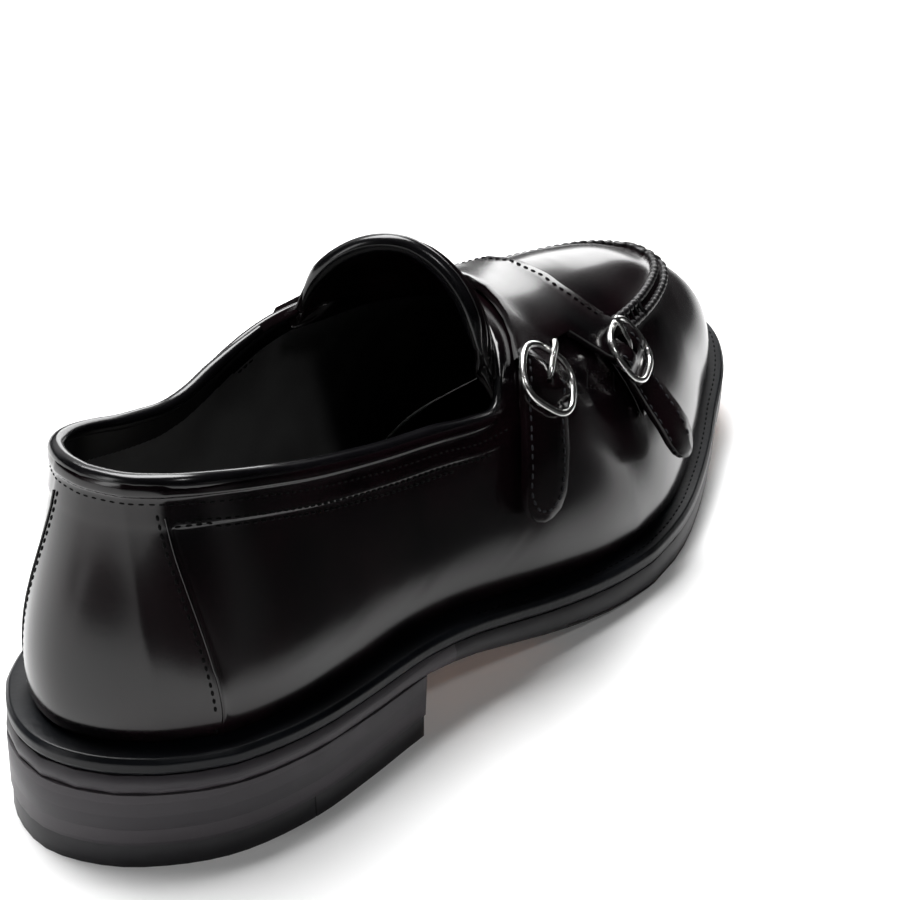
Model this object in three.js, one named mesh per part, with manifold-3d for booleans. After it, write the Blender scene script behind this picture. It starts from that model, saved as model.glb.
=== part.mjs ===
// Right-foot shoe with two buckled straps. Millimetres, toe towards +X, buckles towards -Y, floor at z = 0.
import * as THREE from "three";
import { mergeVertices } from "three/addons/utils/BufferGeometryUtils.js";
import Module from "manifold-3d";

// Overall sizes of the shoe.
const SOLE_LENGTH = 305;
const BALL_WIDTH = 107.7;
const HEEL_HEIGHT = 17.5;
const HEEL_BACK_RISE = 2.5;
const HEEL_LENGTH = 86;
const TOE_SPRING = 12;
const COLLAR_HEIGHT = 60;
const OUTSOLE_THICKNESS = 8;
const WELT_THICKNESS = 5;
const WELT_LEDGE = 6;

// Leather, rubber and metal thicknesses.
const WALL = 2;
const TOP_LIFT = 6;
const RUBBER_INLAY = 1.4;
const INSOLE_ABOVE_WELT = 3;
const TONGUE_THICKNESS = 2.4;
const TONGUE_TUCK = 13;
const CLEARANCE = 0.3;

// Raised details of the upper.
const COUNTER_STEP = 0.8;
const BAND_DEPTH = 11;
const BAND_STEP = 0.6;
const ROLL_DEPTH = 3.2;
const ROLL_STEP = 0.8;
const APRON_RIDGE = 1.4;
const APRON_STEP = 0.3;

// Straps and buckles.
const STRAP_THICKNESS = 2;
const STRAP_WIDTH = 15.5;
const STRAP_SEAT = 0.7;
const BUCKLE_AT = { rear: 5.5, front: 9.5 };
const TIP_LIFT = { rear: 0.6, front: 4 };
const BUCKLE_WIDTH = 21;
const BUCKLE_LENGTH = 19;
const BUCKLE_CORNER = 6.5;
const BAR_RADIUS = 1.1;
const FRAME_HEIGHT = 4.9;
const CENTRE_BAR_HEIGHT = 2.5;
const CENTRE_BAR_RADIUS = 0.88;
const PRONG_RADIUS = 0.9;
const TAB_THICKNESS = 0.9;
const TAB_WIDTH = 12;
const TAB_LENGTH = 20;

const COLUMNS_PER_SIDE = 38;
const COUNTER_SEAM = { lateral: 0.13, medial: 0.08 };
const THROAT_SHARE = 0.59;

const wasm = await Module();
wasm.setup();

// Plan outline of the welt: distance from the heel back, and half widths on the two sides.
const outlineRows = [
  { x: 0, medial: 0, lateral: 0 },
  { x: 4, medial: 13.5, lateral: 14.5 },
  { x: 12, medial: 23, lateral: 25 },
  { x: 25, medial: 31, lateral: 34.8 },
  { x: 45, medial: 35.5, lateral: 40.8 },
  { x: 65, medial: 36, lateral: 42.2 },
  { x: 85, medial: 34.5, lateral: 42.5 },
  { x: 105, medial: 32, lateral: 44.2 },
  { x: 125, medial: 31, lateral: 46.5 },
  { x: 145, medial: 34, lateral: 49.5 },
  { x: 165, medial: 43.5, lateral: 52.3 },
  { x: 185, medial: 52, lateral: 52.9 },
  { x: 205, medial: 54.8, lateral: 49.8 },
  { x: 225, medial: 53.5, lateral: 43.6 },
  { x: 245, medial: 49.3, lateral: 35.9 },
  { x: 265, medial: 42.5, lateral: 27 },
  { x: 280, medial: 35.8, lateral: 20.8 },
  { x: 291, medial: 29.5, lateral: 14 },
  { x: 299, medial: 22, lateral: 7.2 },
  { x: 303.5, medial: 14, lateral: 0.5 },
  { x: 305, medial: 6, lateral: -6 },
];

// Side of the sole along its length: shares of the outsole, the welt and the ledge outside the upper.
const soleRows = [
  { x: 0, outsole: 0.63, welt: 0.86, ledge: 1 },
  { x: 60, outsole: 0.63, welt: 0.86, ledge: 1 },
  { x: 85, outsole: 0.65, welt: 0.86, ledge: 1.03 },
  { x: 120, outsole: 0.79, welt: 0.92, ledge: 1.17 },
  { x: 175, outsole: 1, welt: 1, ledge: 1 },
  { x: 250, outsole: 1, welt: 1.04, ledge: 0.92 },
  { x: 305, outsole: 1, welt: 1.04, ledge: 0.92 },
];

// Underside of the outsole in front of the heel: shares of the heel height and of the toe spring.
const underRows = [
  { x: 86, heel: 1, toe: 0 },
  { x: 102, heel: 0.86, toe: 0 },
  { x: 120, heel: 0.58, toe: 0 },
  { x: 140, heel: 0.29, toe: 0 },
  { x: 160, heel: 0.1, toe: 0 },
  { x: 178, heel: 0.015, toe: 0 },
  { x: 186, heel: 0, toe: 0 },
  { x: 218, heel: 0, toe: 0 },
  { x: 235, heel: 0, toe: 0.08 },
  { x: 260, heel: 0, toe: 0.35 },
  { x: 285, heel: 0, toe: 0.73 },
  { x: 305, heel: 0, toe: 1.05 },
];

// Top edge of the upper from the heel back (share 0) to the throat, height over the welt, lean inwards.
const toplineRows = {
  lateral: [
    { share: 0, x: 19, y: 0, up: 60, lean: 6 },
    { share: 0.065, x: 20, y: -7.5, up: 60.5, lean: 6 },
    { share: 0.13, x: 25, y: -16.5, up: 61, lean: 7 },
    { share: 0.175, x: 32, y: -21.5, up: 60.5, lean: 9 },
    { share: 0.215, x: 42, y: -24.5, up: 58.6, lean: 13 },
    { share: 0.27, x: 57, y: -26, up: 54.8, lean: 18 },
    { share: 0.32, x: 72, y: -27, up: 51.6, lean: 22 },
    { share: 0.38, x: 92, y: -28.5, up: 48.7, lean: 25 },
    { share: 0.43, x: 111, y: -30.5, up: 48.8, lean: 28 },
    { share: 0.47, x: 127, y: -31.5, up: 50.7, lean: 36 },
    { share: 0.505, x: 135, y: -27.5, up: 59, lean: 52 },
    { share: 0.545, x: 146, y: -15.5, up: 67.8, lean: 74 },
    { share: 0.59, x: 155, y: 3, up: 72, lean: 90 },
  ],
  medial: [
    { share: 0, x: 19, y: 0, up: 60, lean: 6 },
    { share: 0.04, x: 19.3, y: 4, up: 60, lean: 6 },
    { share: 0.08, x: 20.5, y: 8.5, up: 59.8, lean: 7 },
    { share: 0.12, x: 24.5, y: 15, up: 59.3, lean: 9 },
    { share: 0.16, x: 32, y: 19.5, up: 57.8, lean: 12 },
    { share: 0.2, x: 42, y: 22.2, up: 55, lean: 16 },
    { share: 0.25, x: 55, y: 23.5, up: 51.6, lean: 20 },
    { share: 0.3, x: 69, y: 24, up: 49.8, lean: 23 },
    { share: 0.345, x: 82, y: 24, up: 53, lean: 27 },
    { share: 0.385, x: 93, y: 23.5, up: 57.8, lean: 32 },
    { share: 0.43, x: 106, y: 21.5, up: 63.4, lean: 42 },
    { share: 0.48, x: 124, y: 17, up: 69.5, lean: 58 },
    { share: 0.54, x: 143, y: 10, up: 72.6, lean: 78 },
    { share: 0.59, x: 155, y: 3, up: 72, lean: 90 },
  ],
};

// Crest of the instep and vamp up to the toe box: height over the welt, and heading of the columns,
// in degrees off straight ahead.
const crestRows = [
  { share: 0.59, x: 155, y: 3, up: 72, heading: 80 },
  { share: 0.64, x: 166, y: 3.5, up: 69.2, heading: 84 },
  { share: 0.7, x: 181, y: 4, up: 66.4, heading: 86 },
  { share: 0.76, x: 196, y: 4.5, up: 64.6, heading: 80 },
  { share: 0.82, x: 211, y: 5, up: 62.6, heading: 66 },
  { share: 0.88, x: 225, y: 5.5, up: 59.6, heading: 46 },
  { share: 0.94, x: 237, y: 6, up: 55.6, heading: 24 },
  { share: 1, x: 245, y: 6.5, up: 52, heading: 0 },
];

// Apron seam: where it crosses each column, as a share of the way from the welt to the crest.
const apronRows = [
  { share: 0.59, seam: 0.62 },
  { share: 0.8, seam: 0.62 },
  { share: 0.86, seam: 0.635 },
  { share: 0.91, seam: 0.665 },
  { share: 0.95, seam: 0.715 },
  { share: 0.98, seam: 0.765 },
  { share: 1, seam: 0.79 },
];

// Wall of the upper above the welt: rise and outward flare at the foot, reach of the curve at the top.
const wallRows = {
  lateral: [
    { share: 0, rise: 22, flare: 3, reach: 22 },
    { share: 0.11, rise: 22, flare: 3.5, reach: 22 },
    { share: 0.25, rise: 22, flare: 3.5, reach: 20 },
    { share: 0.4, rise: 20, flare: 5, reach: 16 },
    { share: 0.5, rise: 22, flare: 5, reach: 16 },
    { share: 0.59, rise: 24, flare: 5, reach: 26 },
    { share: 0.75, rise: 20, flare: 4, reach: 27 },
    { share: 0.88, rise: 17, flare: 3, reach: 25 },
    { share: 1, rise: 16, flare: 2.5, reach: 24 },
  ],
  medial: [
    { share: 0, rise: 22, flare: 3, reach: 22 },
    { share: 0.11, rise: 22, flare: 3.5, reach: 22 },
    { share: 0.25, rise: 22, flare: 4.5, reach: 20 },
    { share: 0.4, rise: 24, flare: 9, reach: 16 },
    { share: 0.5, rise: 26, flare: 7, reach: 20 },
    { share: 0.59, rise: 24, flare: 4.5, reach: 26 },
    { share: 0.75, rise: 19, flare: 3.5, reach: 27 },
    { share: 0.88, rise: 17, flare: 3, reach: 25 },
    { share: 1, rise: 16, flare: 2.5, reach: 24 },
  ],
};

// Throat edge over the tongue, by angle round the inner axis: 0 medial, 90 up, 180 lateral.
const tongueTuckRows = [
  { angle: 62, x: 107 },
  { angle: 68, x: 122 },
  { angle: 76, x: 141 },
  { angle: 86, x: 154.5 },
  { angle: 98, x: 154.5 },
  { angle: 112, x: 147.5 },
  { angle: 124, x: 140 },
  { angle: 134, x: 134 },
  { angle: 140, x: 130 },
];

// Saddle leaf by the same angle: rear edge, the two inner edges that part into straps, front edge.
const saddleRows = [
  { angle: -34, rear: 119, rearIn: 141, frontIn: 163, front: 184 },
  { angle: -10, rear: 115, rearIn: 139, frontIn: 164, front: 186 },
  { angle: 20, rear: 112, rearIn: 138, frontIn: 165, front: 188 },
  { angle: 50, rear: 110, rearIn: 137, frontIn: 165, front: 189.5 },
  { angle: 62, rear: 112, rearIn: 142, frontIn: 167, front: 190 },
  { angle: 70, rear: 130, rearIn: 150, frontIn: 170, front: 190 },
  { angle: 78, rear: 147, rearIn: 158, frontIn: 172, front: 190 },
  { angle: 88, rear: 157.5, rearIn: 165, frontIn: 175, front: 190 },
  { angle: 102, rear: 156, rearIn: 164, frontIn: 174, front: 190.5 },
  { angle: 116, rear: 150.5, rearIn: 162, frontIn: 172, front: 192.5 },
  { angle: 130, rear: 141, rearIn: 160, frontIn: 175, front: 197.5 },
];

// Centre lines of the two straps from the parting to the rounded tips.
const strapRows = {
  rear: [
    { angle: 136, x: 147.5 },
    { angle: 142, x: 142.5 },
    { angle: 155, x: 137.5 },
    { angle: 168, x: 133.5 },
    { angle: 183, x: 129 },
  ],
  front: [
    { angle: 137.5, x: 189.5 },
    { angle: 149.5, x: 193.5 },
    { angle: 165, x: 195.5 },
    { angle: 181, x: 196.5 },
    { angle: 197, x: 198 },
  ],
};

// Free top edge of the tongue from the medial side over the instep to the lateral side.
const tongueEdgeRows = [
  { x: 111.4, y: 19.8, up: 64.4 },
  { x: 113.1, y: 18, up: 72.6 },
  { x: 115.1, y: 11, up: 82.2 },
  { x: 118.5, y: 2.5, up: 88.3 },
  { x: 122.3, y: -6, up: 89.7 },
  { x: 125.1, y: -14.5, up: 85.9 },
  { x: 126.6, y: -22.5, up: 77.2 },
  { x: 127.1, y: -25.5, up: 68.5 },
  { x: 127.6, y: -26, up: 60.4 },
];

// Rear edge of the forefoot rubber by distance across the sole, and the ends of its front edge.
const inlayRearRows = [
  { y: -70, x: 146 },
  { y: -49, x: 142.5 },
  { y: -25, x: 140.5 },
  { y: -5, x: 142.5 },
  { y: 14, x: 148 },
  { y: 27, x: 153.5 },
  { y: 40, x: 160.5 },
  { y: 70, x: 180 },
];
const inlayFront = { lateral: 243.5, medial: 253 };

// Front edge of the rubber quarter under the heel, lateral side to medial side.
const heelRubberRows = [
  { y: -70, x: 46 },
  { y: -41, x: 46 },
  { y: -37, x: 42.5 },
  { y: 70, x: 34 },
];

const lengthScale = SOLE_LENGTH / outlineRows[outlineRows.length - 1].x;
const widest = (side) => Math.max(...outlineRows.map((row) => row[side]));
const widthScale = BALL_WIDTH / (widest("medial") + widest("lateral"));
const heightScale = COLLAR_HEIGHT / toplineRows.lateral[0].up;

const clamp01 = (v) => Math.min(1, Math.max(0, v));
const mix = (a, b, w) => a + (b - a) * w;
const smooth = (a, b, v) => {
  const w = clamp01((v - a) / (b - a));
  return w * w * (3 - 2 * w);
};

// Smooth, non-overshooting reading of a table between its rows.
function tableReader(rows, key) {
  const at = rows.map((row) => row[key]);
  const slopesOf = (name) => {
    const secant = [];
    for (let i = 0; i + 1 < rows.length; i += 1) {
      secant.push((rows[i + 1][name] - rows[i][name]) / (at[i + 1] - at[i]));
    }
    return rows.map((row, i) => {
      if (i === 0) return secant[0];
      if (i === rows.length - 1) return secant[i - 1];
      if (secant[i - 1] * secant[i] <= 0) return 0;
      const before = at[i] - at[i - 1];
      const after = at[i + 1] - at[i];
      const w1 = 2 * after + before;
      const w2 = after + 2 * before;
      return (w1 + w2) / (w1 / secant[i - 1] + w2 / secant[i]);
    });
  };
  const slopes = {};
  return (value, name) => {
    if (!slopes[name]) slopes[name] = slopesOf(name);
    const v = Math.min(at[at.length - 1], Math.max(at[0], value));
    let i = 0;
    while (i + 2 < at.length && v > at[i + 1]) i += 1;
    const h = at[i + 1] - at[i];
    const w = (v - at[i]) / h;
    const a = rows[i][name];
    const b = rows[i + 1][name];
    const m0 = slopes[name][i] * h;
    const m1 = slopes[name][i + 1] * h;
    const w2 = w * w;
    const w3 = w2 * w;
    return (2 * w3 - 3 * w2 + 1) * a + (w3 - 2 * w2 + w) * m0 + (3 * w2 - 2 * w3) * b + (w3 - w2) * m1;
  };
}

const soleTable = tableReader(soleRows, "x");
const underTable = tableReader(underRows, "x");
const crestTable = tableReader(crestRows, "share");
const apronTable = tableReader(apronRows, "share");
const toplineTable = {
  lateral: tableReader(toplineRows.lateral, "share"),
  medial: tableReader(toplineRows.medial, "share"),
};
const wallTable = {
  lateral: tableReader(wallRows.lateral, "share"),
  medial: tableReader(wallRows.medial, "share"),
};

// Closed plan outline, read by side and by share of the way from heel back to toe.
const outlineCurve = (() => {
  const last = outlineRows[outlineRows.length - 1];
  const points = [];
  for (const row of outlineRows) {
    points.push(new THREE.Vector3(row.x * lengthScale, -row.lateral * widthScale, 0));
  }
  points[points.length - 1].y = ((last.medial - last.lateral) / 2) * widthScale;
  for (const row of outlineRows.slice(1, -1).reverse()) {
    points.push(new THREE.Vector3(row.x * lengthScale, row.medial * widthScale, 0));
  }
  return new THREE.CatmullRomCurve3(points, true, "centripetal");
})();

const outlineSamples = (() => {
  const perSpan = 24;
  const total = (2 * outlineRows.length - 2) * perSpan;
  const toeIndex = (outlineRows.length - 1) * perSpan;
  const points = [];
  for (let i = 0; i <= total; i += 1) points.push(outlineCurve.getPoint(i / total));
  const take = (list) => {
    const run = [0];
    for (let i = 1; i < list.length; i += 1) run.push(run[i - 1] + list[i].distanceTo(list[i - 1]));
    return { list, run };
  };
  return {
    lateral: take(points.slice(0, toeIndex + 1)),
    medial: take(points.slice(toeIndex).reverse()),
  };
})();

function outlineAt(side, share) {
  const { list, run } = outlineSamples[side];
  const goal = clamp01(share) * run[run.length - 1];
  let i = 1;
  while (i + 1 < list.length && run[i] < goal) i += 1;
  const w = (goal - run[i - 1]) / (run[i] - run[i - 1]);
  return list[i - 1].clone().lerp(list[i], w);
}

function inwardAt(side, share) {
  if (share <= 0) return new THREE.Vector3(1, 0, 0);
  if (share >= 1) return new THREE.Vector3(-1, 0, 0);
  const step = 0.004;
  const a = outlineAt(side, share - step);
  const b = outlineAt(side, share + step);
  const along = b.sub(a).normalize();
  const sign = side === "lateral" ? 1 : -1;
  return new THREE.Vector3(-along.y * sign, along.x * sign, 0);
}

// Heights of the sole's layers over the floor.
function underHeight(x) {
  const at = x / lengthScale;
  if (x < HEEL_LENGTH) return HEEL_HEIGHT + HEEL_BACK_RISE * (1 - x / HEEL_LENGTH);
  const start = underRows[0].x;
  const end = underRows[underRows.length - 1].x;
  const breast = HEEL_LENGTH / lengthScale;
  const shifted = Math.max(start, start + ((at - breast) * (end - start)) / (end - breast));
  return HEEL_HEIGHT * underTable(shifted, "heel") + TOE_SPRING * underTable(shifted, "toe");
}
const soleValue = (x, name) => soleTable(x / lengthScale, name);
const outsoleTop = (x) => underHeight(x) + OUTSOLE_THICKNESS * soleValue(x, "outsole");
const weltBottom = (x) => outsoleTop(x) + CLEARANCE;
const weltTop = (x) => weltBottom(x) + WELT_THICKNESS * soleValue(x, "welt");
const ledgeAt = (x) => WELT_LEDGE * soleValue(x, "ledge");

// Shares of the columns from heel back to toe, with close pairs on the two counter seams.
const shares = (() => {
  const list = [];
  for (let i = 0; i <= COLUMNS_PER_SIDE; i += 1) list.push(i / COLUMNS_PER_SIDE);
  const pairs = [COUNTER_SEAM.lateral, COUNTER_SEAM.medial].flatMap((s) => [s, s + 0.003]);
  const kept = list.filter((s) => s === 0 || pairs.every((p) => Math.abs(p - s) > 0.008));
  const throat = kept.findIndex((s) => s >= THROAT_SHARE);
  kept[throat] = THROAT_SHARE;
  return kept.concat(pairs).sort((a, b) => a - b);
})();
const columns = shares.map((share) => ({ side: "lateral", share }));
for (const share of shares.slice(1, -1).reverse()) columns.push({ side: "medial", share });

function ring(inset, height) {
  return columns.map(({ side, share }) => {
    const edge = outlineAt(side, share);
    const x = edge.x;
    const point = edge.addScaledVector(inwardAt(side, share), inset(x));
    point.z = height(x);
    return point;
  });
}

// Triangle list collected face by face, all faces seen from outside.
class Faces {
  constructor() {
    this.points = [];
  }

  tri(a, b, c) {
    if (a.distanceTo(b) < 2e-3 || b.distanceTo(c) < 2e-3 || c.distanceTo(a) < 2e-3) return;
    this.points.push(a, b, c);
  }

  quad(a, b, c, d) {
    if (a.distanceToSquared(c) <= b.distanceToSquared(d)) {
      this.tri(a, b, c);
      this.tri(a, c, d);
    } else {
      this.tri(a, b, d);
      this.tri(b, c, d);
    }
  }

  geometry() {
    const geometry = new THREE.BufferGeometry().setFromPoints(this.points);
    geometry.computeVertexNormals();
    return geometry;
  }
}

// Strip between two closed rings, the second above or inside the first.
function strip(faces, low, high) {
  for (let i = 0; i < low.length; i += 1) {
    const j = (i + 1) % low.length;
    faces.quad(low[i], low[j], high[j], high[i]);
  }
}

// Flat-across cover of a ring whose points i and n - i face each other.
function ladder(faces, points, upward) {
  const n = points.length;
  const h = n / 2;
  for (let i = 0; i < h; i += 1) {
    const a = points[i];
    const b = points[i + 1];
    const c = points[(n - i - 1) % n];
    const d = points[(n - i) % n];
    if (upward) faces.quad(a, b, c, d);
    else faces.quad(d, c, b, a);
  }
}

function ringSolid(rings) {
  const faces = new Faces();
  ladder(faces, rings[0], false);
  for (let i = 0; i + 1 < rings.length; i += 1) strip(faces, rings[i], rings[i + 1]);
  ladder(faces, rings[rings.length - 1], true);
  return faces.geometry();
}

function hollowRingSolid(outer, inner) {
  const faces = new Faces();
  for (let i = 0; i + 1 < outer.length; i += 1) strip(faces, outer[i], outer[i + 1]);
  for (let i = 0; i + 1 < inner.length; i += 1) strip(faces, inner[i + 1], inner[i]);
  strip(faces, outer[outer.length - 1], inner[inner.length - 1]);
  strip(faces, inner[0], outer[0]);
  return faces.geometry();
}

// Upper: each column rises from the welt to the top edge or to the crest of the vamp.
function edgePoint(side, share) {
  const table = share < THROAT_SHARE ? toplineTable[side] : crestTable;
  const x = table(share, "x") * lengthScale;
  const y = table(share, "y") * widthScale;
  return new THREE.Vector3(x, y, weltTop(x) + table(share, "up") * heightScale);
}

function crestSlope(share) {
  const a = edgePoint("lateral", Math.max(THROAT_SHARE, share - 0.01));
  const b = edgePoint("lateral", Math.min(1, share + 0.01));
  return (b.z - a.z) / (b.x - a.x);
}

function footPoint(side, share, extra = 0) {
  const edge = outlineAt(side, share);
  const x = edge.x;
  edge.addScaledVector(inwardAt(side, share), ledgeAt(x) + extra);
  edge.z = weltTop(x) + CLEARANCE;
  return edge;
}

function columnCurve(side, share) {
  const foot = footPoint(side, share);
  const top = edgePoint(side, share);
  const wall = (name) => wallTable[side](share, name);
  const out = inwardAt(side, share).negate();
  const lean = THREE.MathUtils.degToRad(share < THROAT_SHARE ? toplineTable[side](share, "lean") : 90);
  const heading = THREE.MathUtils.degToRad(crestTable(Math.max(share, THROAT_SHARE), "heading"));
  const aside = side === "lateral" ? -1 : 1;
  const overCrest = new THREE.Vector3(Math.cos(heading), aside * Math.sin(heading), 0);
  const toFoot = out.clone().lerp(overCrest, smooth(0.45, THROAT_SHARE, share)).normalize();
  const slope = crestSlope(Math.max(share, THROAT_SHARE)) * smooth(0.5, THROAT_SHARE, share);
  const low = foot.clone().addScaledVector(out, wall("flare") * widthScale);
  low.z += wall("rise") * heightScale;
  const reach = wall("reach") * widthScale;
  const high = top.clone().addScaledVector(toFoot, reach * Math.sin(lean));
  high.z += reach * (slope * toFoot.x * Math.sin(lean) - Math.cos(lean));
  return new THREE.CubicBezierCurve3(foot, low, high, top);
}

const curveStore = new Map();
function upperPoint(side, share, t) {
  const key = `${share >= 1 ? "toe" : side} ${share.toFixed(6)}`;
  if (!curveStore.has(key)) curveStore.set(key, columnCurve(side, share));
  return curveStore.get(key).getPoint(t);
}

function oneNormal(side, share, t) {
  const ds = 0.002;
  const dt = 0.004;
  const t0 = Math.max(0, t - dt);
  const t1 = Math.min(1, t + dt);
  const across = share <= ds
    ? upperPoint("lateral", share + ds, t).sub(upperPoint("medial", ds, t))
    : upperPoint(side, Math.min(1, share + ds), t).sub(upperPoint(side, share - ds, t));
  const sign = share <= ds || side === "lateral" ? 1 : -1;
  const up = upperPoint(side, share, t1).sub(upperPoint(side, share, t0));
  return across.cross(up).multiplyScalar(sign).normalize();
}

function upperNormal(side, share, t) {
  if (share >= 1) {
    const pair = oneNormal("lateral", 1, t).add(oneNormal("medial", 1, t));
    return pair.normalize();
  }
  if (share >= THROAT_SHARE && t >= 1) {
    return oneNormal("lateral", share, 1).add(oneNormal("medial", share, 1)).normalize();
  }
  return oneNormal(side, share, t);
}

// Rows of a column: position along it and how far the outer face stands proud there.
function columnRows(side, share) {
  const length = upperPoint(side, share, 0).distanceTo(upperPoint(side, share, 1)) * 1.12;
  const fromTop = (d) => 1 - d / length;
  const proud = BAND_STEP;
  const collar = [
    [0, 0], [0.05, 0], [0.13, 0], [0.24, 0], [0.36, 0], [0.48, 0], [0.6, 0], [0.72, 0],
    [fromTop(BAND_DEPTH + 0.7), 0], [fromTop(BAND_DEPTH), proud], [fromTop(BAND_DEPTH * 0.68), proud],
    [fromTop(ROLL_DEPTH + 0.9), proud], [fromTop(ROLL_DEPTH), proud + ROLL_STEP],
    [fromTop(ROLL_DEPTH * 0.35), proud + ROLL_STEP], [1, proud],
  ];
  const seam = apronTable(share, "seam");
  const below = [0, 0.08, 0.2, 0.36, 0.53, 0.7, 0.86].map((part) => [part * seam, 0]);
  const ridgeRows = [
    [seam - 0.045, 0], [seam - 0.02, APRON_RIDGE], [seam, APRON_RIDGE * 0.8],
    [seam + 0.02, APRON_RIDGE], [seam + 0.045, APRON_STEP],
  ];
  const vamp = below.concat(ridgeRows, [0.4, 0.7, 1].map((part) => [mix(seam, 1, part), APRON_STEP]));
  const w = smooth(0.46, THROAT_SHARE, share);
  const underStraps = smooth(0.72, 0.78, share);
  const inCounter = share <= COUNTER_SEAM[side] + 1e-9;
  return collar.map(([t, out], i) => {
    const ridge = vamp[i][1] * underStraps;
    const counter = i < 9 ? COUNTER_STEP * smooth(-0.02, 0.03, t) : 0.3;
    const raise = mix(out * (1 - smooth(0.44, 0.5, share)), ridge, w) + (inCounter && i > 0 ? counter : 0);
    return { t: mix(t, vamp[i][0], w), raise };
  });
}

function upperSheets() {
  const outer = [];
  const inner = [];
  for (const { side, share } of columns) {
    const rows = columnRows(side, share);
    outer.push(rows.map(({ t, raise }, i) => {
      const point = upperPoint(side, share, t);
      if (i === 0) return point;
      return point.addScaledVector(upperNormal(side, share, t), raise);
    }));
    inner.push(rows.map(({ t }, i) => {
      if (i === 0) return footPoint(side, share, WALL);
      return upperPoint(side, share, t).addScaledVector(upperNormal(side, share, t), -WALL);
    }));
  }
  return { outer, inner };
}

const sheets = upperSheets();

function upperShell({ outer, inner }) {
  const faces = new Faces();
  const n = columns.length;
  const m = outer[0].length - 1;
  for (let k = 0; k < n; k += 1) {
    const l = (k + 1) % n;
    for (let j = 0; j < m; j += 1) {
      faces.quad(outer[k][j], outer[l][j], outer[l][j + 1], outer[k][j + 1]);
      faces.quad(inner[k][j + 1], inner[l][j + 1], inner[l][j], inner[k][j]);
    }
    faces.quad(inner[k][0], inner[l][0], outer[l][0], outer[k][0]);
    const open = Math.max(columns[k].share, columns[l].share) <= THROAT_SHARE + 1e-9;
    if (open) faces.quad(outer[k][m], outer[l][m], inner[l][m], inner[k][m]);
  }
  return faces.geometry();
}

// The same shell grown by a gap on every side, used to trim what lies against it.
function grownShell(gap) {
  const shift = (from, other, k, j) => {
    const p = from[k][j];
    const away = p.clone().sub(other[k][j]).normalize();
    const moved = p.clone().addScaledVector(away, gap);
    const last = from[k].length - 1;
    if (j < last || columns[k].share > THROAT_SHARE + 1e-9) return moved;
    if (columns[k].share > THROAT_SHARE - 1e-9) return moved.add(new THREE.Vector3(-gap, 0, 0));
    return moved.addScaledVector(p.clone().sub(from[k][j - 1]).normalize(), gap);
  };
  const grow = (from, other) => from.map((column, k) => column.map((p, j) => shift(from, other, k, j)));
  return upperShell({ outer: grow(sheets.outer, sheets.inner), inner: grow(sheets.inner, sheets.outer) });
}

// Rays from the inner axis of the shoe find the upper's faces; angle 0 is medial, 90 up, 180 lateral.
function sheetMesh(grid) {
  const n = grid.length;
  const m = grid[0].length;
  const geometry = new THREE.BufferGeometry().setFromPoints(grid.flat());
  const index = [];
  for (let k = 0; k < n; k += 1) {
    const l = (k + 1) % n;
    for (let j = 0; j + 1 < m; j += 1) {
      index.push(k * m + j, l * m + j, l * m + j + 1, k * m + j, l * m + j + 1, k * m + j + 1);
    }
  }
  geometry.setIndex(index);
  const merged = mergeVertices(geometry, 1e-3);
  merged.computeVertexNormals();
  return new THREE.Mesh(merged, new THREE.MeshBasicMaterial({ side: THREE.DoubleSide }));
}
const outerFace = sheetMesh(sheets.outer);
const innerFace = sheetMesh(sheets.inner);
const axisHeight = weltTop(155 * lengthScale) + 30 * heightScale;

function faceAt(face, x, angle, proud = 0) {
  const turn = THREE.MathUtils.degToRad(angle);
  const ray = new THREE.Raycaster(
    new THREE.Vector3(x, 0, axisHeight),
    new THREE.Vector3(0, Math.cos(turn) * widthScale, Math.sin(turn) * heightScale).normalize(),
  );
  const hits = ray.intersectObject(face);
  const hit = hits[hits.length - 1];
  const normal = hit.normal.clone();
  if (normal.dot(ray.ray.direction) < 0) normal.negate();
  return { point: hit.point.clone().addScaledVector(normal, proud), normal };
}

function conform(point, proud) {
  const turn = Math.atan2((point.z - axisHeight) / heightScale, point.y / widthScale);
  const wrapped = turn < -Math.PI / 2 ? turn + 2 * Math.PI : turn;
  return faceAt(outerFace, point.x, THREE.MathUtils.radToDeg(wrapped), proud);
}

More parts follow.
